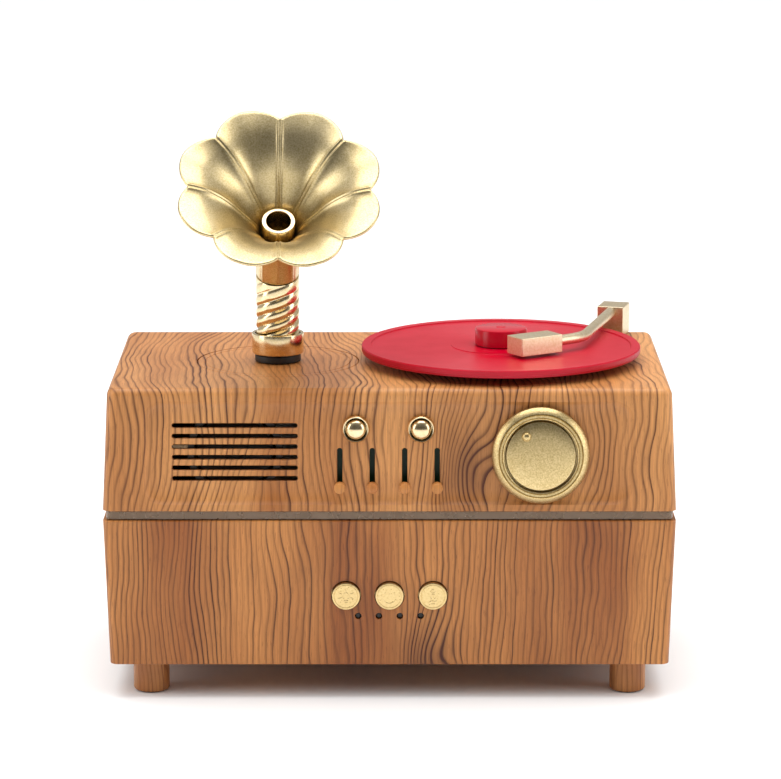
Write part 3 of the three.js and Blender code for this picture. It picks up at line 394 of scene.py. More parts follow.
def cut(piece, cutters):
    """Takes every cutter away from the piece, then drops the cutters."""
    made = []
    for number, bm in enumerate(cutters):
        mesh = bpy.data.meshes.new(f"cutter_{number}")
        bm.to_mesh(mesh)
        bm.free()
        cutter = bpy.data.objects.new(mesh.name, mesh)
        scene.collection.objects.link(cutter)
        modifier = piece.modifiers.new(mesh.name, "BOOLEAN")
        modifier.operation, modifier.solver, modifier.object = "DIFFERENCE", "MANIFOLD", cutter
        made.append(cutter)
    bpy.context.view_layer.update()
    seen = piece.evaluated_get(bpy.context.evaluated_depsgraph_get())
    result = bpy.data.meshes.new_from_object(seen)
    piece.modifiers.clear()
    piece.data = result
    for cutter in made:
        bpy.data.objects.remove(cutter)
    bm = bmesh.new()
    bm.from_mesh(result)
    bmesh.ops.remove_doubles(bm, verts=bm.verts, dist=0.001 * mm)
    shade(bm, 24)
    bm.to_mesh(result)
    bm.free()


wall = 3 * mm
upper_draft = 0.046
low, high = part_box("upper_case")
low.z = 58 * mm                    # the cover's visible lower edge, above its hidden lip
lean_in = upper_draft * (high.z - low.z)
case_top = high.z
bm = tapered_box(low, high, lean_in)
round_walls(bm, 2.8 * mm)
round_rim(bm, high.z, 2.2 * mm)
shade(bm, 24)
upper_case = to_piece("upper_cover", bm, upper_wood, "case", "upper_wood", "upper_case")

inner_low = low + Vector((wall, wall, -wall))
inner_high = high - Vector((wall, wall, wall))
upper_face = (
    Matrix.Translation((0, low.y, low.z))
    @ Matrix.Rotation(math.pi / 2 - math.atan(upper_draft), 4, "X")
)
cavity = tapered_box(inner_low, inner_high, upper_draft * (inner_high.z - inner_low.z))

recess_depth = 1.2 * mm
cove_width = 4 * mm
cove_steps = 7
recess = [(0.3 * mm, 0.3 * mm)]
for step in range(cove_steps):
    start, end = step / cove_steps, (step + 1) / cove_steps
    fall = math.sqrt(1 - (1 - end) ** 2) - math.sqrt(1 - (1 - start) ** 2)
    recess.append((cove_width / cove_steps, fall * (recess_depth - 0.3 * mm)))
recess_width, recess_low, recess_high = 144.4 * mm, 2 * mm, 32.8 * mm
recess_middle = Vector((-0.3 * mm, (recess_low + recess_high) / 2, 0))
cutters = [cavity, plug(
    recess_width, recess_high - recess_low, 5.4 * mm, 3 * mm, recess,
    upper_face @ Matrix.Translation(recess_middle),
)]

rim = 0.22 * mm                    # chamfer round each slot
through = 4 * mm


def slot_cutter(width, height, place):
    """A round-ended slot with a chamfered mouth at the level of `place`."""
    bm = bmesh.new()
    bmesh.ops.create_cube(bm, size=1)
    bmesh.ops.scale(bm, vec=(width, height, through + 2 * mm), verts=bm.verts)
    bmesh.ops.translate(bm, vec=(0, 0, mm - through / 2), verts=bm.verts)
    round_walls(bm, min(width, height) * 0.48)
    for level in (0, -rim):
        bmesh.ops.bisect_plane(
            bm, geom=bm.verts[:] + bm.edges[:] + bm.faces[:], dist=0.001 * mm,
            plane_co=(0, 0, level), plane_no=(0, 0, 1),
        )
    flared = [vert for vert in bm.verts if vert.co.z > -rim / 2]
    bmesh.ops.scale(bm, vec=((width + 2 * rim) / width, (height + 2 * rim) / height, 1), verts=flared)
    bmesh.ops.transform(bm, matrix=place, verts=bm.verts)
    return bm


slot_middle, slot_length, slot_height = -45.7 * mm, 37.2 * mm, 1.45 * mm
for row in range(6):
    spot = upper_face @ Matrix.Translation((slot_middle, (9.65 + row * 3.17) * mm, -recess_depth))
    cutters.append(slot_cutter(slot_length, slot_height, spot))
slider_width, slider_foot, slider_head = 1.6 * mm, 6 * mm, 18.8 * mm
slider_places = [sum((corner.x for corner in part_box(f"slider_peg_{i}")), 0) / 2 for i in (1, 2, 3, 4)]
for x in slider_places:
    spot = upper_face @ Matrix.Translation((x, (slider_foot + slider_head) / 2, -recess_depth))
    cutters.append(slot_cutter(slider_width, slider_head - slider_foot, spot))


def on_face(face, node_name):
    """The middle of a CAD node, measured along a front face."""
    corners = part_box(node_name)
    return face.inverted() @ ((corners[0] + corners[1]) / 2)


for name in ("dome_ring_left", "dome_ring_right", "dial_ring"):
    middle = on_face(upper_face, name)
    radius = 4.05 * mm if name != "dial_ring" else 3.9 * mm
    spot = upper_face @ Matrix.Translation((middle.x, middle.y, 0))
    cutters.append(drill(radius, -through - 2 * mm, 3 * mm, spot))
joints = {joint["name"]: joint for joint in frame["joints"]}
horn_foot = Vector(joints["horn_swivel"]["pos_m"])
record_foot = Vector(joints["record_spin"]["pos_m"])
lid_radius = (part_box("tank_lid")[1].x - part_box("tank_lid")[0].x) / 2
cutters.append(drill(lid_radius + 0.25 * mm, -1.9 * mm, 2 * mm, Matrix.Translation(horn_foot), 128))
cutters.append(drill(lid_radius - 1.5 * mm, -6 * mm, -1.7 * mm, Matrix.Translation(horn_foot), 128))
cutters.append(drill(1.8 * mm, -6 * mm, 2 * mm, Matrix.Translation(record_foot)))
cut(upper_case, cutters)
even_out(upper_case)


# ------------------------------------------------------------------ lower case
# The deep lower half, its walls leaning in towards the feet, in a redder print of the same
# film. It is drilled for three press buttons and four small indicator holes.

lower_wood = wood(
    "lower_wood", Spacing=1.8, Sway=24.0, Shift=41.7, Contrast=1.2,
    Pale=tint("#c58446"), Warm=tint("#8f5020"), Dark=tint("#451c07"),
    Knot_Across=11.0, Knot_Along=-33.0, Knot_Size=7.0,
)
lower_draft = 0.033
low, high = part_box("lower_case")
high.z = 55.1 * mm                 # the visible upper edge, below the light band
bm = tapered_box(low, high, -lower_draft * (high.z - low.z))
round_walls(bm, 2.4 * mm)
round_rim(bm, high.z, 0.35 * mm, 2)
round_rim(bm, low.z, 0.35 * mm, 2)
shade(bm, 24)
lower_case = to_piece("lower_cover", bm, lower_wood, "case", "lower_wood", "lower_case")
inner_low = low + Vector((wall, wall, wall))
inner_high = high + Vector((-wall, -wall, wall))
cutters = [tapered_box(inner_low, inner_high, -lower_draft * (inner_high.z - inner_low.z))]
lower_face = (
    Matrix.Translation((0, low.y, high.z))
    @ Matrix.Rotation(math.pi / 2 + math.atan(lower_draft), 4, "X")
)
press_names = ("lamp_button", "power_button", "mist_button")
for name in press_names:
    middle = on_face(lower_face, name)
    spot = lower_face @ Matrix.Translation((middle.x, middle.y, 0))
    cutters.append(drill(4.5 * mm, -through, 2 * mm, spot))
hole_drop = 29.4 * mm
hole_places = (-9.32, -3.15, 3.07, 9.27)
for x in hole_places:
    spot = lower_face @ Matrix.Translation((x * mm, -hole_drop, 0))
    cutters.append(drill(1 * mm, -through, 1 * mm, spot, 32))
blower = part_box("blower_housing")
grille_middle = (blower[0] + blower[1]) / 2
for row in range(6):
    spot = Matrix.Translation((grille_middle.x, grille_middle.y + (row - 2.5) * 3.6 * mm, low.z))
    turned = spot @ Matrix.Rotation(math.pi, 4, "X")
    cutters.append(slot_cutter(19.8 * mm, 1.8 * mm, turned))
inlet_low, inlet_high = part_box("power_inlet")
bm = bmesh.new()
bmesh.ops.create_cube(bm, size=1)
bmesh.ops.scale(bm, vec=(inlet_high.x - inlet_low.x + 0.6 * mm, 12 * mm, inlet_high.z - inlet_low.z + 0.6 * mm), verts=bm.verts)
bmesh.ops.translate(
    bm, vec=((inlet_low.x + inlet_high.x) / 2, high.y, (inlet_low.z + inlet_high.z) / 2), verts=bm.verts,
)
cutters.append(bm)
cut(lower_case, cutters)
even_out(lower_case)


# ------------------------------------------------------------------ feet and pads
# Four short turned feet with the film wrapped round them, each screwed up into the case and
# tipped with a rubber pad that the whole object stands on.

def ring(profile, steps, place=Matrix(), closed=False):
    """Turns (radius, height) pairs about the upright axis of `place`."""
    bm = bmesh.new()
    points = [bm.verts.new((radius, 0, height)) for radius, height in profile]
    edges = [bm.edges.new(pair) for pair in zip(points, points[1:])]
    if closed:
        edges.append(bm.edges.new((points[-1], points[0])))
    bmesh.ops.spin(
        bm, geom=points + edges, cent=(0, 0, 0), axis=(0, 0, 1), angle=2 * math.pi,
        steps=steps, use_merge=True, use_normal_flip=False, use_duplicate=False,
    )
    bmesh.ops.remove_doubles(bm, verts=bm.verts, dist=0.002 * mm)
    bmesh.ops.recalc_face_normals(bm, faces=bm.faces)
    bmesh.ops.transform(bm, matrix=place, verts=bm.verts)
    return bm


def plain(name, colour, roughness, speck=0.25, metal=0.0, grain=900.0):
    """A plain moulded or plated stock with a faint mottle and a fine tooth."""
    material = bpy.data.materials.new(name)
    material.use_nodes = True
    tree = material.node_tree
    shader = tree.nodes["Principled BSDF"]
    where = node(tree, "ShaderNodeTexCoord").outputs["Object"]
    cloud = node(tree, "ShaderNodeTexNoise", {"Vector": where, "Scale": 90.0, "Detail": 3.0}).outputs[0]
    tooth = node(tree, "ShaderNodeTexNoise", {"Vector": where, "Scale": grain, "Detail": 2.0}).outputs[0]
    darker = tuple(c * (1 - speck) for c in colour[:3]) + (1,)
    link(tree, mix(tree, cloud, colour, darker), shader.inputs["Base Color"])
    rough = calculate(tree, "ADD", calculate(tree, "MULTIPLY", tooth, 0.12), roughness - 0.06)
    link(tree, rough, shader.inputs["Roughness"])
    bump = node(tree, "ShaderNodeBump", {"Height": tooth, "Strength": 0.15, "Distance": 0.0001})
    link(tree, bump.outputs[0], shader.inputs["Normal"])
    shader.inputs["Metallic"].default_value = metal
    return material


rubber = plain("rubber", (0.03, 0.03, 0.032, 1), 0.85)
foot_wood = wood(
    "foot_wood", Spacing=1.3, Sway=8.0, Shift=73.1, Contrast=0.8,
    Pale=tint("#c4874c"), Warm=tint("#9c5f2e"), Dark=tint("#50240b"), Knot_Size=0.01,
)
for corner in ("front_left", "front_right", "back_left", "back_right"):
    low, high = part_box(f"foot_{corner}")
    radius = (high.x - low.x) / 2
    middle = (low + high) / 2
    profile = [(0, low.z + 1.2 * mm), (4.6 * mm, low.z + 1.2 * mm), (4.6 * mm, low.z)]
    for step in range(5):
        angle = step / 4 * math.pi / 2
        profile.append((
            radius - 0.8 * mm * (1 - math.sin(angle)), low.z + 0.8 * mm * (1 - math.cos(angle)),
        ))
    profile += [(radius, high.z), (0, high.z)]
    bm = ring(profile, 48, Matrix.Translation((middle.x, middle.y, 0)))
    shade(bm, 40)
    to_piece(f"turned_foot_{corner}", bm, foot_wood, "case", "lower_wood", f"foot_{corner}")
    frame["nodes"][f"foot_pad_{corner}"].data.materials.clear()
    frame["nodes"][f"foot_pad_{corner}"].data.materials.append(rubber)


# ------------------------------------------------------------------ light band
# A clear moulded band between the two halves, faintly frosted, with a ring-shaped board of
# lamps behind it. Unlit, it looks grey-brown, darker under the upper case's edge.

band_plastic = bpy.data.materials.new("band_plastic")
band_plastic.use_nodes = True
tree = band_plastic.node_tree
shader = tree.nodes["Principled BSDF"]
where = node(tree, "ShaderNodeTexCoord").outputs["Object"]
haze = node(tree, "ShaderNodeTexNoise", {"Vector": where, "Scale": 260.0, "Detail": 2.0}).outputs[0]
link(tree, mix(tree, haze, tint("#b29577"), tint("#977a5e")), shader.inputs["Base Color"])
link(tree, calculate(tree, "ADD", calculate(tree, "MULTIPLY", haze, 0.1), 0.22), shader.inputs["Roughness"])
shader.inputs["Transmission Weight"].default_value = 0.55
shader.inputs["IOR"].default_value = 1.46


def dress(material, *nodes):
    """Gives CAD nodes that keep their own shape a finished material."""
    for name in nodes:
        frame["nodes"][name].data.materials.clear()
        frame["nodes"][name].data.materials.append(material)


board_mask = plain("board_mask", (0.55, 0.54, 0.5, 1), 0.5)
dress(band_plastic, "light_band")
dress(board_mask, "led_board")


# ------------------------------------------------------------------ tank lid
# A round lid that closes the water tank, let in flush with the case top under the same film.
# A fine groove runs inside its edge, and the horn stands on it.

low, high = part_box("tank_lid")
lid_place = Matrix.Translation((horn_foot.x, horn_foot.y, 0))
lid_bore = 5.9 * mm
groove = 22.2 * mm
flange = high.z - 1.6 * mm
mouth = 22.8 * mm
skirt = 19.3 * mm
bm = ring([
    (lid_bore, high.z), (groove - 0.25 * mm, high.z), (groove, high.z - 0.25 * mm),
    (groove + 0.25 * mm, high.z), (lid_radius - 0.25 * mm, high.z), (lid_radius, high.z - 0.25 * mm),
    (lid_radius, flange), (mouth, flange), (mouth, high.z - wall), (skirt, high.z - wall),
    (skirt, low.z), (skirt - 1.4 * mm, low.z), (skirt - 1.4 * mm, high.z - wall), (lid_bore, high.z - wall),
], 128, lid_place, closed=True)
shade(bm, 30)
to_piece("lid_disc", bm, upper_wood, "lid", "upper_wood", "tank_lid")


# ------------------------------------------------------------------ washer and collar
# A dark plastic washer for the horn to turn on, and above it a plain gold collar that the
# twisted stem drops into, with a rounded foot and a thin bright lip.

def gold_skin():
    """Champagne plating: a fine speckle and a faint cloud over the colour and the gloss."""
    group = bpy.data.node_groups.new("gold_skin", "ShaderNodeTree")
    face = group.interface
    for name, kind, value in (
        ("Pale", "NodeSocketColor", (0.8, 0.7, 0.5, 1)), ("Deep", "NodeSocketColor", (0.6, 0.5, 0.3, 1)),
        ("Speck Scale", "NodeSocketFloat", 2400.0), ("Gloss", "NodeSocketFloat", 0.2),
        ("Gloss Spread", "NodeSocketFloat", 0.1),
    ):
        face.new_socket(name=name, in_out="INPUT", socket_type=kind).default_value = value
    for name, kind in (("Color", "NodeSocketColor"), ("Roughness", "NodeSocketFloat"), ("Height", "NodeSocketFloat")):
        face.new_socket(name=name, in_out="OUTPUT", socket_type=kind)
    given = node(group, "NodeGroupInput").outputs
    where = node(group, "ShaderNodeTexCoord").outputs["Object"]
    speck = node(group, "ShaderNodeTexNoise", {"Vector": where, "Scale": given["Speck Scale"], "Detail": 3.0}).outputs[0]
    cloud = node(group, "ShaderNodeTexNoise", {"Vector": where, "Scale": 70.0, "Detail": 2.0}).outputs[0]
    both = calculate(group, "ADD", calculate(group, "MULTIPLY", speck, 0.75), calculate(group, "MULTIPLY", cloud, 0.25))
    sharp = node(group, "ShaderNodeMapRange", {"Value": both, "From Min": 0.36, "From Max": 0.64}).outputs[0]
    rough = calculate(group, "ADD", given["Gloss"], calculate(group, "MULTIPLY", speck, given["Gloss Spread"]))
    given_back = node(group, "NodeGroupOutput")
    link(group, mix(group, sharp, given["Deep"], given["Pale"]), given_back.inputs["Color"])
    link(group, rough, given_back.inputs["Roughness"])
    link(group, speck, given_back.inputs["Height"])
    return group


gold_print = gold_skin()


def gold(name, pale, deep, gloss, spread, scale, tooth):
    material = bpy.data.materials.new(name)
    material.use_nodes = True
    tree = material.node_tree
    shader = tree.nodes["Principled BSDF"]
    skin = node(tree, "ShaderNodeGroup", node_tree=gold_print)
    for key, value in (("Pale", pale), ("Deep", deep), ("Speck Scale", scale), ("Gloss", gloss), ("Gloss Spread", spread)):
        skin.inputs[key].default_value = value
    bump = node(tree, "ShaderNodeBump", {"Height": skin.outputs["Height"], "Strength": tooth, "Distance": 0.0002})
    link(tree, skin.outputs["Color"], shader.inputs["Base Color"])
    link(tree, skin.outputs["Roughness"], shader.inputs["Roughness"])
    link(tree, bump.outputs[0], shader.inputs["Normal"])
    shader.inputs["Metallic"].default_value = 1.0
    return material


polished_gold = gold("polished_gold", tint("#f0dcb4"), tint("#e2c998"), 0.13, 0.08, 1500.0, 0.05)
satin_gold = gold("satin_gold", tint("#ecd9ac"), tint("#cdb67f"), 0.26, 0.14, 2300.0, 0.16)
black_plastic = plain("black_plastic", (0.018, 0.017, 0.016, 1), 0.5)

low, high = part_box("swivel_washer")
bm = ring([(5.9 * mm, low.z), (7 * mm, low.z), (7 * mm, high.z), (5.9 * mm, high.z)], 64, lid_place, closed=True)
soften(bm, 0.2 * mm)
shade(bm)
to_piece("turning_washer", bm, black_plastic, "lid", "black_plastic", "swivel_washer")

low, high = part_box("collar")
collar_radius = (high.x - low.x) / 2
bm = ring([
    (5.9 * mm, low.z), (collar_radius - 0.5 * mm, low.z), (collar_radius - 0.15 * mm, low.z + 0.15 * mm),
    (collar_radius, low.z + 0.5 * mm), (collar_radius, high.z), (6.95 * mm, high.z),
    (6.95 * mm, high.z - 4.2 * mm), (5.9 * mm, high.z - 4.2 * mm),
], 96, lid_place, closed=True)
soften(bm, 0.25 * mm)
shade(bm, 40)
to_piece("gold_collar", bm, polished_gold, "lid", "polished_gold", "collar")


# ------------------------------------------------------------------ stem
# A plated casting with rope-like flutes winding up to the right, fading out towards the
# mitre where the tilted horn begins. It stands in the collar and turns with the horn.

stem_radius = 6.6 * mm
stem_rise = 26.9 * mm             # case top to the middle of the mitre
tilt = math.radians(41.5)
yaw = math.radians(3.2)
roll = math.radians(-1.9)
flutes, lead, flute_depth = 4, 13.5 * mm, 0.62 * mm
horn_place = Matrix.Translation(horn_foot) @ Matrix.Rotation(yaw, 4, "Z")
stem_low = 5.5 * mm
stem_high = stem_rise + 4 * mm
levels = 96
bm = bmesh.new()
bmesh.ops.create_circle(bm, cap_ends=False, segments=144, radius=1)
bmesh.ops.translate(bm, vec=(0, 0, stem_low), verts=bm.verts)
rim_edges = list(bm.edges)
for level in range(levels):
    grown = bmesh.ops.extrude_edge_only(bm, edges=rim_edges)["geom"]
    rim_edges = [part for part in grown if isinstance(part, bmesh.types.BMEdge)]
    raised = [part for part in grown if isinstance(part, bmesh.types.BMVert)]
    bmesh.ops.translate(bm, vec=(0, 0, (stem_high - stem_low) / levels), verts=raised)
for vert in bm.verts:
    angle = math.atan2(vert.co.y, vert.co.x)
    turn = angle - vert.co.z / lead * 2 * math.pi
    height = vert.co.z / stem_rise
    fade = 1 - 0.72 * min(1, max(0, (height - 0.55) / 0.3))
    valley = (1 - abs(math.sin(flutes * turn / 2))) ** 1.6
    radius = stem_radius - flute_depth * fade * valley
    vert.co.x, vert.co.y = radius * math.cos(angle), radius * math.sin(angle)
tilt_half = Matrix.Rotation(tilt / 2, 4, "X")
bmesh.ops.bisect_plane(
    bm, geom=bm.verts[:] + bm.edges[:] + bm.faces[:], dist=0.001 * mm,
    plane_co=(0, 0, stem_rise - 0.15 * mm), plane_no=tilt_half @ Vector((0, 0, 1)), clear_outer=True,
)
bmesh.ops.holes_fill(bm, edges=[edge for edge in bm.edges if edge.is_boundary], sides=0)
bmesh.ops.recalc_face_normals(bm, faces=bm.faces)
soften(bm, 0.22 * mm, 2, 50)
shade(bm, 45)
bmesh.ops.transform(bm, matrix=horn_place, verts=bm.verts)
to_piece("twisted_stem", bm, polished_gold, "horn", "polished_gold", "horn_stem")


# ------------------------------------------------------------------ bell
# An eight-petalled bell in sandblasted champagne gold. Each seam between petals is a pair of
# thin raised lines with a groove between them, and the rim is a narrow rounded lip.

bell_wall = 1 * mm
petals = 8
seam_tip = 26.4 * mm
petal_tip = 30.4 * mm
throat = 6.3 * mm
# The seam's own line from throat to rim, as (radius, distance up the bell's axis).
seam_line = [(5.25, 15.0), (5.6, 19.0), (6.6, 22.4), (8.4, 25.4), (11.0, 28.9), (14.0, 32.9), (17.6, 36.6), (21.6, 39.5), (26.4, 41.4)]


def smooth_line(points, count):
    """A Catmull-Rom line through the points, as evenly many steps between each pair."""
    line = []
    ends = [points[0], *points, points[-1]]
    for i in range(len(points) - 1):
        a, b, c, d = (Vector(p) for p in ends[i:i + 4])
        for step in range(count):
            t = step / count
            line.append(0.5 * (
                2 * b + (c - a) * t + (2 * a - 5 * b + 4 * c - d) * t ** 2 + (3 * b - a - 3 * c + d) * t ** 3
            ))
    return line + [Vector(points[-1])]


inside = smooth_line(seam_line, 6)
section = []
for number, point in enumerate(inside):
    before, after = inside[max(0, number - 1)], inside[min(len(inside) - 1, number + 1)]
    along = (after - before).normalized()
    out = Vector((along.y, -along.x))
    section.append((point, out, number / (len(inside) - 1)))
neck_low = -8.0
profile = [(Vector((5.25, neck_low)), Vector((1, 0)), 0.0, "in")]
profile += [(point, out, share, "in") for point, out, share in section]
tip, tip_out, _ = section[-1]
tip_along = Vector((-tip_out.y, tip_out.x))
for step in range(1, 6):
    angle = step / 6 * math.pi
    bulge = 0.5 * math.sin(angle)
    profile.append((tip + tip_out * 0.5 * (1 - math.cos(angle)) + tip_along * bulge, tip_out, 1.0, "lip"))
outer = [(point + out * 1.0, out, share, "out") for point, out, share in reversed(section)]
profile += [entry for entry in outer if entry[0].x > 6.3]
profile.append((Vector((6.3, 14.0)), Vector((1, 0)), 0.0, "out"))
profile.append((Vector((6.3, 1.0)), Vector((1, 0)), 0.0, "out"))
profile.append((Vector((6.3, neck_low)), Vector((1, 0)), 0.0, "out"))

columns = 24                       # columns of faces in each petal
near = [0, 0.16, 0.34, 0.55, 0.78, 1.05, 1.4]   # distances from a seam, in millimetres at the rim
bm = bmesh.new()
row_layer = bm.verts.layers.int.new("row")
points = [bm.verts.new((entry[0].x * mm, 0, entry[0].y * mm)) for entry in profile]
for number, vert in enumerate(points):
    vert[row_layer] = number
edges = [bm.edges.new(pair) for pair in zip(points, points[1:])]
bmesh.ops.spin(
    bm, geom=points + edges, cent=(0, 0, 0), axis=(0, 0, 1), angle=2 * math.pi,
    steps=petals * columns, use_merge=True, use_normal_flip=False, use_duplicate=False,
)
petal_angle = 2 * math.pi / petals
lobe_centre = 19.1 * mm
lobe_radius = 11.35 * mm
for vert in bm.verts:
    point, out, share, wall_side = profile[vert[row_layer]]
    angle = math.atan2(vert.co.y, vert.co.x) + math.pi / 2
    column = round(angle / petal_angle * columns)
    petal, place_in = divmod(column, columns)
    mirrored = min(place_in, columns - place_in)
    radius = point.x
    narrowing = 0.55 + 0.45 * min(1, radius / 26.4)
    if mirrored < len(near):
        offset = near[mirrored] * narrowing / max(radius, 1)
    else:
        edge_offset = near[-1] * narrowing / max(radius, 1)
        rest = (mirrored - len(near) + 1) / (columns / 2 - len(near) + 1)
        offset = edge_offset + rest * (petal_angle / 2 - edge_offset)
    from_middle = petal_angle / 2 - offset
    signed = offset if place_in <= columns / 2 else petal_angle - offset
    turn = petal * petal_angle + signed - math.pi / 2
    lobe = lobe_centre * math.cos(from_middle) + math.sqrt(lobe_radius ** 2 - (lobe_centre * math.sin(from_middle)) ** 2)
    spread = 1 + (lobe / seam_tip - 1) * max(0, share) ** 1.6
    off_seam = offset * max(radius, 1)
    ridge = math.exp(-((off_seam - 0.72 * narrowing) / 0.3) ** 2)
    valley = math.exp(-(off_seam / 0.3) ** 2)
    if wall_side == "in":
        rise = 0.22 * ridge - 0.2 * valley
    elif wall_side == "out":
        rise = -0.25 * math.exp(-(off_seam / 0.35) ** 2)
    else:
        rise = 0
    if share == 0.0 and wall_side == "in":
        rise = 0
    moved = point - out * rise
    sag = 0.9 * (share ** 3) * (1 - (offset / (petal_angle / 2)) ** 2) * -0.6
    height = moved.y + sag
    radius = moved.x * mm * spread
    vert.co = (radius * math.cos(turn), radius * math.sin(turn), height * mm)
bmesh.ops.remove_doubles(bm, verts=bm.verts, dist=0.001 * mm)
head = horn_place @ Matrix.Translation((0, 0, stem_rise)) @ Matrix.Rotation(tilt, 4, "X")
bmesh.ops.transform(bm, matrix=Matrix.Rotation(roll, 4, "Z"), verts=bm.verts)
bmesh.ops.bisect_plane(
    bm, geom=bm.verts[:] + bm.edges[:] + bm.faces[:], dist=0.001 * mm,
    plane_co=(0, 0, 0.2 * mm), plane_no=Matrix.Rotation(-tilt / 2, 4, "X") @ Vector((0, 0, 1)), clear_inner=True,
)
open_rims = [edge for edge in bm.edges if edge.is_boundary]
bmesh.ops.bridge_loops(bm, edges=open_rims)
bmesh.ops.recalc_face_normals(bm, faces=bm.faces)
shade(bm, 50)
bmesh.ops.transform(bm, matrix=head, verts=bm.verts)
to_piece("petal_bell", bm, satin_gold, "horn", "satin_gold", "horn_bell")

# The plain mist tube stands in the throat, its flat rim polished bright.
bm = ring([
    (3.75 * mm, 3 * mm), (4.95 * mm, 3 * mm), (4.95 * mm, 25.3 * mm), (3.75 * mm, 25.3 * mm),
], 64, head, closed=True)
soften(bm, 0.12 * mm, 2)
shade(bm, 40)
to_piece("mist_tube", bm, polished_gold, "horn", "polished_gold", "nozzle_tube")


# ------------------------------------------------------------------ record and hub
# A gloss crimson disc with a raised rim, fine turned grooves and a smooth label, carried on a
# motor shaft and held down by a round hub with a dimple in its top.

def crimson(name, turned_finish):
    material = bpy.data.materials.new(name)
    material.use_nodes = True
    tree = material.node_tree
    shader = tree.nodes["Principled BSDF"]
    where = node(tree, "ShaderNodeTexCoord").outputs["Object"]
    centred = node(tree, "ShaderNodeMapping", {"Vector": where})
    centred.inputs["Location"].default_value = (-record_foot.x, -record_foot.y, 0)
    flat = node(tree, "ShaderNodeVectorMath", {0: centred.outputs[0], 1: (1, 1, 0)}, operation="MULTIPLY")
    radius = node(tree, "ShaderNodeVectorMath", {0: flat.outputs[0]}, operation="LENGTH").outputs["Value"]
    cloud = node(tree, "ShaderNodeTexNoise", {"Vector": where, "Scale": 120.0, "Detail": 3.0}).outputs[0]
    link(tree, mix(tree, cloud, tint("#bf0226"), tint("#ac001d")), shader.inputs["Base Color"])
    wave = calculate(tree, "SINE", calculate(tree, "MULTIPLY", radius, 2 * math.pi / (0.45 * mm)))
    rough = calculate(tree, "ADD", calculate(tree, "MULTIPLY", cloud, 0.06), 0.3 if turned_finish else 0.2)
    link(tree, rough, shader.inputs["Roughness"])
    bump = node(tree, "ShaderNodeBump", {"Height": wave, "Strength": 0.1 if turned_finish else 0.02, "Distance": 0.0001})
    link(tree, bump.outputs[0], shader.inputs["Normal"])
    if turned_finish:
        shader.inputs["Anisotropic"].default_value = 0.85
        around = node(tree, "ShaderNodeTangent", direction_type="RADIAL", axis="Z")
        link(tree, around.outputs[0], shader.inputs["Tangent"])
    shader.inputs["Specular IOR Level"].default_value = 0.3
    return material


low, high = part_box("record")
record_place = Matrix.Translation((record_foot.x, record_foot.y, 0))
record_radius = (high.x - low.x) / 2
playing = high.z - 0.4 * mm
label = 15.1 * mm
rim_inner = record_radius - 2.9 * mm
under = case_top + 2.5 * mm
bm = ring([
    (1.8 * mm, low.z), (12 * mm, low.z), (12 * mm, under), (record_radius - 0.9 * mm, under),
    (record_radius - 0.25 * mm, under + 0.3 * mm), (record_radius - 0.2 * mm, under + 0.85 * mm),
    (record_radius, under + 0.95 * mm), (record_radius, high.z - 0.35 * mm),
    (record_radius - 0.3 * mm, high.z), (rim_inner + 0.15 * mm, high.z - 0.02 * mm),
    (rim_inner - 0.1 * mm, playing), (label + 0.15 * mm, playing), (label, playing + 0.2 * mm),
    (1.8 * mm, playing + 0.2 * mm),
], 160, record_place, closed=True)
shade(bm, 28)
to_piece("red_record", bm, crimson("grooved_crimson", True), "turntable", "red_gloss", "record")

hub_low = playing + 0.5 * mm
hub_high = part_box("record_hub")[1].z
hub_radius = (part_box("record_hub")[1].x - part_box("record_hub")[0].x) / 2
shaft_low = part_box("record_hub")[0].z
bm = ring([
    (0, shaft_low), (1.5 * mm, shaft_low), (1.5 * mm, hub_low), (hub_radius, hub_low),
    (hub_radius, hub_high - 0.6 * mm), (hub_radius - 0.18 * mm, hub_high - 0.18 * mm),
    (hub_radius - 0.6 * mm, hub_high), (1.5 * mm, hub_high), (1.2 * mm, hub_high - 0.3 * mm),
    (0.6 * mm, hub_high - 0.5 * mm), (0, hub_high - 0.55 * mm),
], 96, record_place)
shade(bm, 32)
to_piece("record_cap", bm, crimson("smooth_crimson", False), "turntable", "red_gloss", "record_hub")


# ------------------------------------------------------------------ tone arm
# One plated arm: a square-cut pivot block, a round tube with one bend, and an oblong head
# over the record. All three swing together on a pin in the case top.

pivot = Vector(joints["tonearm_swing"]["pos_m"])
arm_place = Matrix.Translation(pivot)


def block(length, width, low, high, place, edge):
    bm = bmesh.new()
    bmesh.ops.create_cube(bm, size=1)
    bmesh.ops.scale(bm, vec=(length, width, high - low), verts=bm.verts)
    bmesh.ops.translate(bm, vec=(0, 0, (low + high) / 2), verts=bm.verts)
    soften(bm, edge, 3)
    shade(bm, 50)
    bmesh.ops.transform(bm, matrix=place, verts=bm.verts)
    return bm


arm_gold = gold("arm_gold", tint("#f2e3c6"), tint("#e3cda2"), 0.34, 0.12, 1500.0, 0.06)
block_low, block_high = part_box("tonearm_block")
tube_level = block_high.z - 1.7 * mm
arm_yaw = math.radians(-15)
bm = block(
    8.4 * mm, 10 * mm, block_low.z - pivot.z, block_high.z - pivot.z,
    arm_place @ Matrix.Rotation(arm_yaw, 4, "Z"), 0.3 * mm,
)
arm_block = to_piece("pivot_block", bm, arm_gold, "tonearm", "polished_gold", "tonearm_block")
even_out(arm_block)

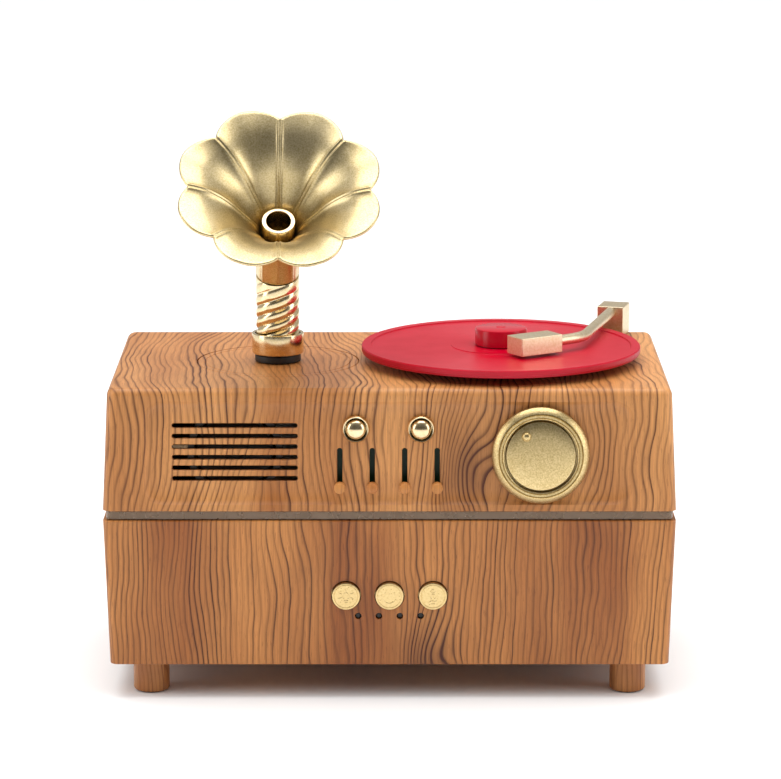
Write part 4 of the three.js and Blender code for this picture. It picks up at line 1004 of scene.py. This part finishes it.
nose = Vector((-20.9, -53.3)) * mm
bend = Vector((-11.9, -46.3)) * mm
face_middle = Vector((math.sin(arm_yaw), -math.cos(arm_yaw))) * 5 * mm
first = (bend - nose).normalized()
second = (face_middle - bend).normalized()
turn_angle = first.angle_signed(second) * -1
ease = 5 * mm
seat = 2.3 * mm
bend_radius = ease / math.tan(abs(turn_angle) / 2)
left_of_first = Vector((-first.y, first.x)) * math.copysign(1, turn_angle)
centre = bend - first * ease + left_of_first * bend_radius
bm = bmesh.new()
start = nose - first * seat
bmesh.ops.create_circle(bm, cap_ends=True, segments=40, radius=1.6 * mm)
aim = Vector((first.x, first.y, 0)).to_track_quat("Z", "Y").to_matrix().to_4x4()
bmesh.ops.transform(bm, matrix=Matrix.Translation((start.x, start.y, tube_level - pivot.z)) @ aim, verts=bm.verts)


def push(bm, along, distance):
    """Draws the open end of the tube straight on."""
    end = max(bm.faces, key=lambda face: face.calc_center_median().dot(Vector((along.x, along.y, 0))))
    grown = bmesh.ops.extrude_face_region(bm, geom=[end])["geom"]
    verts = [part for part in grown if isinstance(part, bmesh.types.BMVert)]
    bmesh.ops.translate(bm, vec=(along.x * distance, along.y * distance, 0), verts=verts)
    faces = [part for part in grown if isinstance(part, bmesh.types.BMFace)]
    if end.is_valid and len(bm.faces) > len(faces) + 1 and not end.select:
        pass
    return faces[0]


straight_one = (bend - nose).length - ease + seat
end = push(bm, first, straight_one)
last = bmesh.ops.spin(
    bm, geom=[end], cent=(centre.x, centre.y, tube_level - pivot.z), axis=(0, 0, 1),
    angle=turn_angle, steps=12, use_merge=False, use_normal_flip=False, use_duplicate=False,
)["geom_last"]
end = next(part for part in last if isinstance(part, bmesh.types.BMFace))
straight_two = (face_middle - bend).length - ease + seat
grown = bmesh.ops.extrude_face_region(bm, geom=[end])["geom"]
verts = [part for part in grown if isinstance(part, bmesh.types.BMVert)]
bmesh.ops.translate(bm, vec=(second.x * straight_two, second.y * straight_two, 0), verts=verts)
bmesh.ops.remove_doubles(bm, verts=bm.verts, dist=0.001 * mm)
bmesh.ops.recalc_face_normals(bm, faces=bm.faces)
shade(bm, 40)
bmesh.ops.transform(bm, matrix=arm_place, verts=bm.verts)
to_piece("arm_tube", bm, arm_gold, "tonearm", "polished_gold", "tonearm_tube")

head_yaw = math.radians(33)
head_long, head_wide, head_tall = 14.8 * mm, 8 * mm, 5.5 * mm
level = tube_level - pivot.z
bm = block(
    head_long, head_wide, level - head_tall / 2, level + head_tall / 2,
    arm_place @ Matrix.Translation((nose.x, nose.y, 0)) @ Matrix.Rotation(head_yaw, 4, "Z")
    @ Matrix.Translation((-head_long / 2, 0, 0)), 0.22 * mm,
)
arm_head = to_piece("arm_head", bm, arm_gold, "tonearm", "polished_gold", "headshell")
even_out(arm_head)


# ------------------------------------------------------------------ loudspeaker and inner parts
# Behind the slots a small black driver, and inside the case the tank, disc, blower, duct,
# motor, boards and controls. They are plain stock and show only through the openings.

dress(black_plastic, "speaker_frame", "speaker_cone", "indicator_lights", "blower_housing", "blower_impeller")
tank_plastic = plain("tank_plastic", (0.62, 0.62, 0.6, 1), 0.35, 0.1)
solder_mask = plain("solder_mask", (0.015, 0.1, 0.04, 1), 0.4)
plated_steel = plain("plated_steel", (0.55, 0.55, 0.56, 1), 0.3, 0.15, 1.0)
white_plastic = plain("white_plastic", (0.75, 0.75, 0.72, 1), 0.45, 0.08)
dress(tank_plastic, "water_tank", "air_duct")
dress(solder_mask, "main_board", "control_board", "button_board")
dress(white_plastic, "disc_retainer")
dress(rubber, "disc_seal")
dress(
    plated_steel, "ultrasonic_disc", "turntable_motor", "tonearm_pin", "swivel_clip", "dial_shaft",
    "dial_potentiometer", "power_inlet",
    *[f"case_screw_{corner}" for corner in ("front_left", "front_right", "back_left", "back_right")],
)


# ------------------------------------------------------------------ dome buttons
# Two bright sprung buttons, each a polished dome in a thick rounded ring that is pressed into
# the recess.

def on_upper(name):
    middle = on_face(upper_face, name)
    return upper_face @ Matrix.Translation((middle.x, middle.y, 0))


floor = -recess_depth
for side_name in ("left", "right"):
    place = on_upper(f"dome_ring_{side_name}")
    bm = ring([
        (3.3 * mm, -4.2 * mm), (3.75 * mm, -4.2 * mm), (3.75 * mm, floor + 0.05 * mm),
        (4.15 * mm, floor + 0.05 * mm), (4.15 * mm, floor + 1.2 * mm), (4.0 * mm, floor + 1.6 * mm),
        (3.7 * mm, floor + 1.95 * mm), (3.45 * mm, floor + 1.9 * mm), (3.3 * mm, floor + 1.6 * mm),
    ], 64, place, closed=True)
    shade(bm, 50)
    to_piece(f"button_ring_{side_name}", bm, polished_gold, "case", "polished_gold", f"dome_ring_{side_name}")
    profile = [(0, -5.7 * mm), (3.75 * mm, -5.7 * mm), (3.75 * mm, -4.5 * mm), (3 * mm, -4.5 * mm)]
    for step in range(13):
        angle = step / 12 * math.pi / 2
        profile.append((3 * mm * math.cos(angle), (0.4 + 2.2 * math.sin(angle)) * mm))
    bm = ring(profile, 64, place)
    shade(bm, 40)
    to_piece(
        f"button_dome_{side_name}", bm, polished_gold, f"dome_{side_name}", "polished_gold",
        f"dome_button_{side_name}",
    )


# ------------------------------------------------------------------ slider pegs
# Four small round pegs in the case's own wood print, each on a flat lever that runs down
# its slot to the control board.

peg_wood = wood(
    "peg_wood", Spacing=2.4, Sway=6.0, Shift=90.0, Contrast=0.35,
    Pale=tint("#c78848"), Warm=tint("#ad6c35"), Dark=tint("#7a4018"), Knot_Size=0.01,
)
for number in (1, 2, 3, 4):
    middle = on_face(upper_face, f"slider_peg_{number}")
    place = upper_face @ Matrix.Translation((slider_places[number - 1], 7.1 * mm, 0))
    radius = 1.65 * mm
    bm = ring([
        (0, floor + 0.25 * mm), (radius, floor + 0.25 * mm), (radius, 1.35 * mm),
        (radius - 0.12 * mm, 1.65 * mm), (radius - 0.4 * mm, 1.85 * mm), (0, 2 * mm),
    ], 40)
    lever = bmesh.ops.create_cube(bm, size=1)["verts"]
    bmesh.ops.scale(bm, vec=(1 * mm, 1 * mm, 6.1 * mm), verts=lever)
    bmesh.ops.translate(bm, vec=(0, 0, -3.9 * mm), verts=lever)
    shade(bm, 40)
    bmesh.ops.transform(bm, matrix=place, verts=bm.verts)
    to_piece(f"wood_peg_{number}", bm, peg_wood, f"slider_{number}", "upper_wood", f"slider_peg_{number}")


# ------------------------------------------------------------------ dial
# A large satin dial: a bevelled outer ring with fine turned lines, a dark gap, and a slightly
# crowned disc with one bead on it to show where it points.

dial_gold = gold("dial_gold", tint("#dcc694"), tint("#b59c66"), 0.27, 0.12, 2300.0, 0.12)
dial_place = on_upper("dial_ring")
dial_radius = 14.45 * mm
dial_rise = 3 * mm
gap = 10.85 * mm
bm = ring([
    (2.8 * mm, floor + 0.3 * mm), (12.2 * mm, floor + 0.3 * mm), (12.6 * mm, 0.3 * mm),
    (dial_radius - 0.1 * mm, 0.3 * mm), (dial_radius, 0.5 * mm), (dial_radius, 1.1 * mm),
    (14.2 * mm, 1.5 * mm), (12.75 * mm, dial_rise - 0.08 * mm), (12.55 * mm, dial_rise),
    (12.35 * mm, dial_rise - 0.3 * mm), (12.15 * mm, dial_rise - 0.05 * mm), (11.55 * mm, dial_rise - 0.05 * mm),
    (11.4 * mm, dial_rise - 0.3 * mm), (11.25 * mm, dial_rise - 0.1 * mm), (gap + 0.1 * mm, dial_rise - 0.3 * mm),
    (gap, dial_rise - 0.6 * mm), (gap, 0.6 * mm), (2.8 * mm, 0.6 * mm),
], 128, dial_place, closed=True)
shade(bm, 32)
to_piece("dial_rim", bm, dial_gold, "dial", "satin_gold", "dial_ring")
disc_radius = 10.45 * mm
profile = [(0, 0.9 * mm), (disc_radius, 0.9 * mm), (disc_radius, dial_rise - 1.0 * mm)]
for step in range(9):
    share = step / 8
    radius = disc_radius * (1 - share) - 0.25 * mm * (share == 0)
    profile.append((radius, dial_rise - 0.75 * mm + 0.95 * mm * math.sqrt(max(0, 1 - (radius / disc_radius) ** 2))))
bm = ring(profile, 96)
bead_turn = math.radians(126)
bead_place = Matrix.Translation((
    7.28 * mm * math.cos(bead_turn), 7.28 * mm * math.sin(bead_turn), dial_rise - 0.3 * mm,
))
bmesh.ops.create_uvsphere(bm, u_segments=32, v_segments=16, radius=1.45 * mm, matrix=bead_place)
shade(bm, 40)
bmesh.ops.transform(bm, matrix=dial_place, verts=bm.verts)
to_piece("dial_disc", bm, dial_gold, "dial", "satin_gold", "dial_cap")


# ------------------------------------------------------------------ press buttons
# Three flat round metal buttons in the lower front, each engraved with a simple sign: a lamp
# with rays, a power ring, and mist rising from a drop.

stroke = 0.32 * mm
cut_depth = 0.22 * mm
press_top = 1.1 * mm


def bar(x0, y0, x1, y1):
    """A straight engraved stroke on a button's face."""
    a, b = Vector((x0, y0)) * mm, Vector((x1, y1)) * mm
    bm = bmesh.new()
    bmesh.ops.create_cube(bm, size=1)
    bmesh.ops.scale(bm, vec=((b - a).length + stroke, stroke, 2 * cut_depth), verts=bm.verts)
    middle = (a + b) / 2
    turn = Matrix.Rotation(math.atan2(b.y - a.y, b.x - a.x), 4, "Z")
    bmesh.ops.transform(bm, matrix=Matrix.Translation((middle.x, middle.y, press_top)) @ turn, verts=bm.verts)
    return bm


def arc(x, y, radius, start, sweep):
    """A round engraved stroke, from `start` degrees through `sweep`."""
    bm = bmesh.new()
    bmesh.ops.create_grid(bm, x_segments=1, y_segments=1, size=0.5)
    bmesh.ops.scale(bm, vec=(stroke, 2 * cut_depth, 1), verts=bm.verts)
    upright = Matrix.Translation((radius * mm, 0, 0)) @ Matrix.Rotation(math.pi / 2, 4, "X")
    bmesh.ops.transform(bm, matrix=Matrix.Rotation(math.radians(start), 4, "Z") @ upright, verts=bm.verts)
    bmesh.ops.spin(
        bm, geom=bm.faces[:], cent=(0, 0, 0), axis=(0, 0, 1), angle=math.radians(sweep),
        steps=max(6, int(abs(sweep) / 12)), use_merge=sweep == 360, use_normal_flip=False, use_duplicate=False,
    )
    if sweep == 360:
        inner_faces = [face for face in bm.faces if all(len(edge.link_faces) > 2 for edge in face.edges)]
        bmesh.ops.delete(bm, geom=inner_faces, context="FACES_ONLY")
    bmesh.ops.recalc_face_normals(bm, faces=bm.faces)
    bmesh.ops.translate(bm, vec=(x * mm, y * mm, press_top), verts=bm.verts)
    return bm


signs = {
    "lamp_button": [arc(0, 0.25, 1.0, -60, 300), bar(-0.5, -1.15, 0.5, -1.15), bar(-0.3, -1.7, 0.3, -1.7)]
    + [bar(1.6 * math.cos(a), 0.25 + 1.6 * math.sin(a), 2.3 * math.cos(a), 0.25 + 2.3 * math.sin(a))
       for a in (math.radians(d) for d in (-20, 25, 90, 155, 200))],
    "power_button": [arc(0, -0.1, 1.9, 122, 296), bar(0, 0.9, 0, 2.2)],
    "mist_button": [arc(0, 1.75, 0.55, -80, 340), arc(0, 0.1, 0.75, -70, 320), bar(-1.0, -1.5, -0.3, -1.2),
                    bar(0.3, -1.5, 1.0, -1.2), bar(-0.45, -2.2, 0.45, -2.2)],
}
press_gold = gold("press_gold", tint("#dcc38e"), tint("#cfb47c"), 0.24, 0.1, 1500.0, 0.02)
for name in press_names:
    middle = on_face(lower_face, name)
    place = lower_face @ Matrix.Translation((middle.x, middle.y, 0))
    bm = ring([
        (0, -7.2 * mm), (1.5 * mm, -7.2 * mm), (1.5 * mm, -4.5 * mm), (5.2 * mm, -4.5 * mm),
        (5.2 * mm, -3.3 * mm), (4.2 * mm, -3.3 * mm), (4.2 * mm, press_top - 0.3 * mm),
        (4.12 * mm, press_top - 0.08 * mm), (3.9 * mm, press_top + 0.0 * mm), (3.62 * mm, press_top),
        (3.52 * mm, press_top - 0.08 * mm), (3.42 * mm, press_top), (0, press_top),
    ], 72)
    body = name.split("_")[0]
    button = to_piece(f"engraved_{name}", bm, press_gold, body, "polished_gold", name)
    cut(button, signs[name])
    button.data.transform(place)
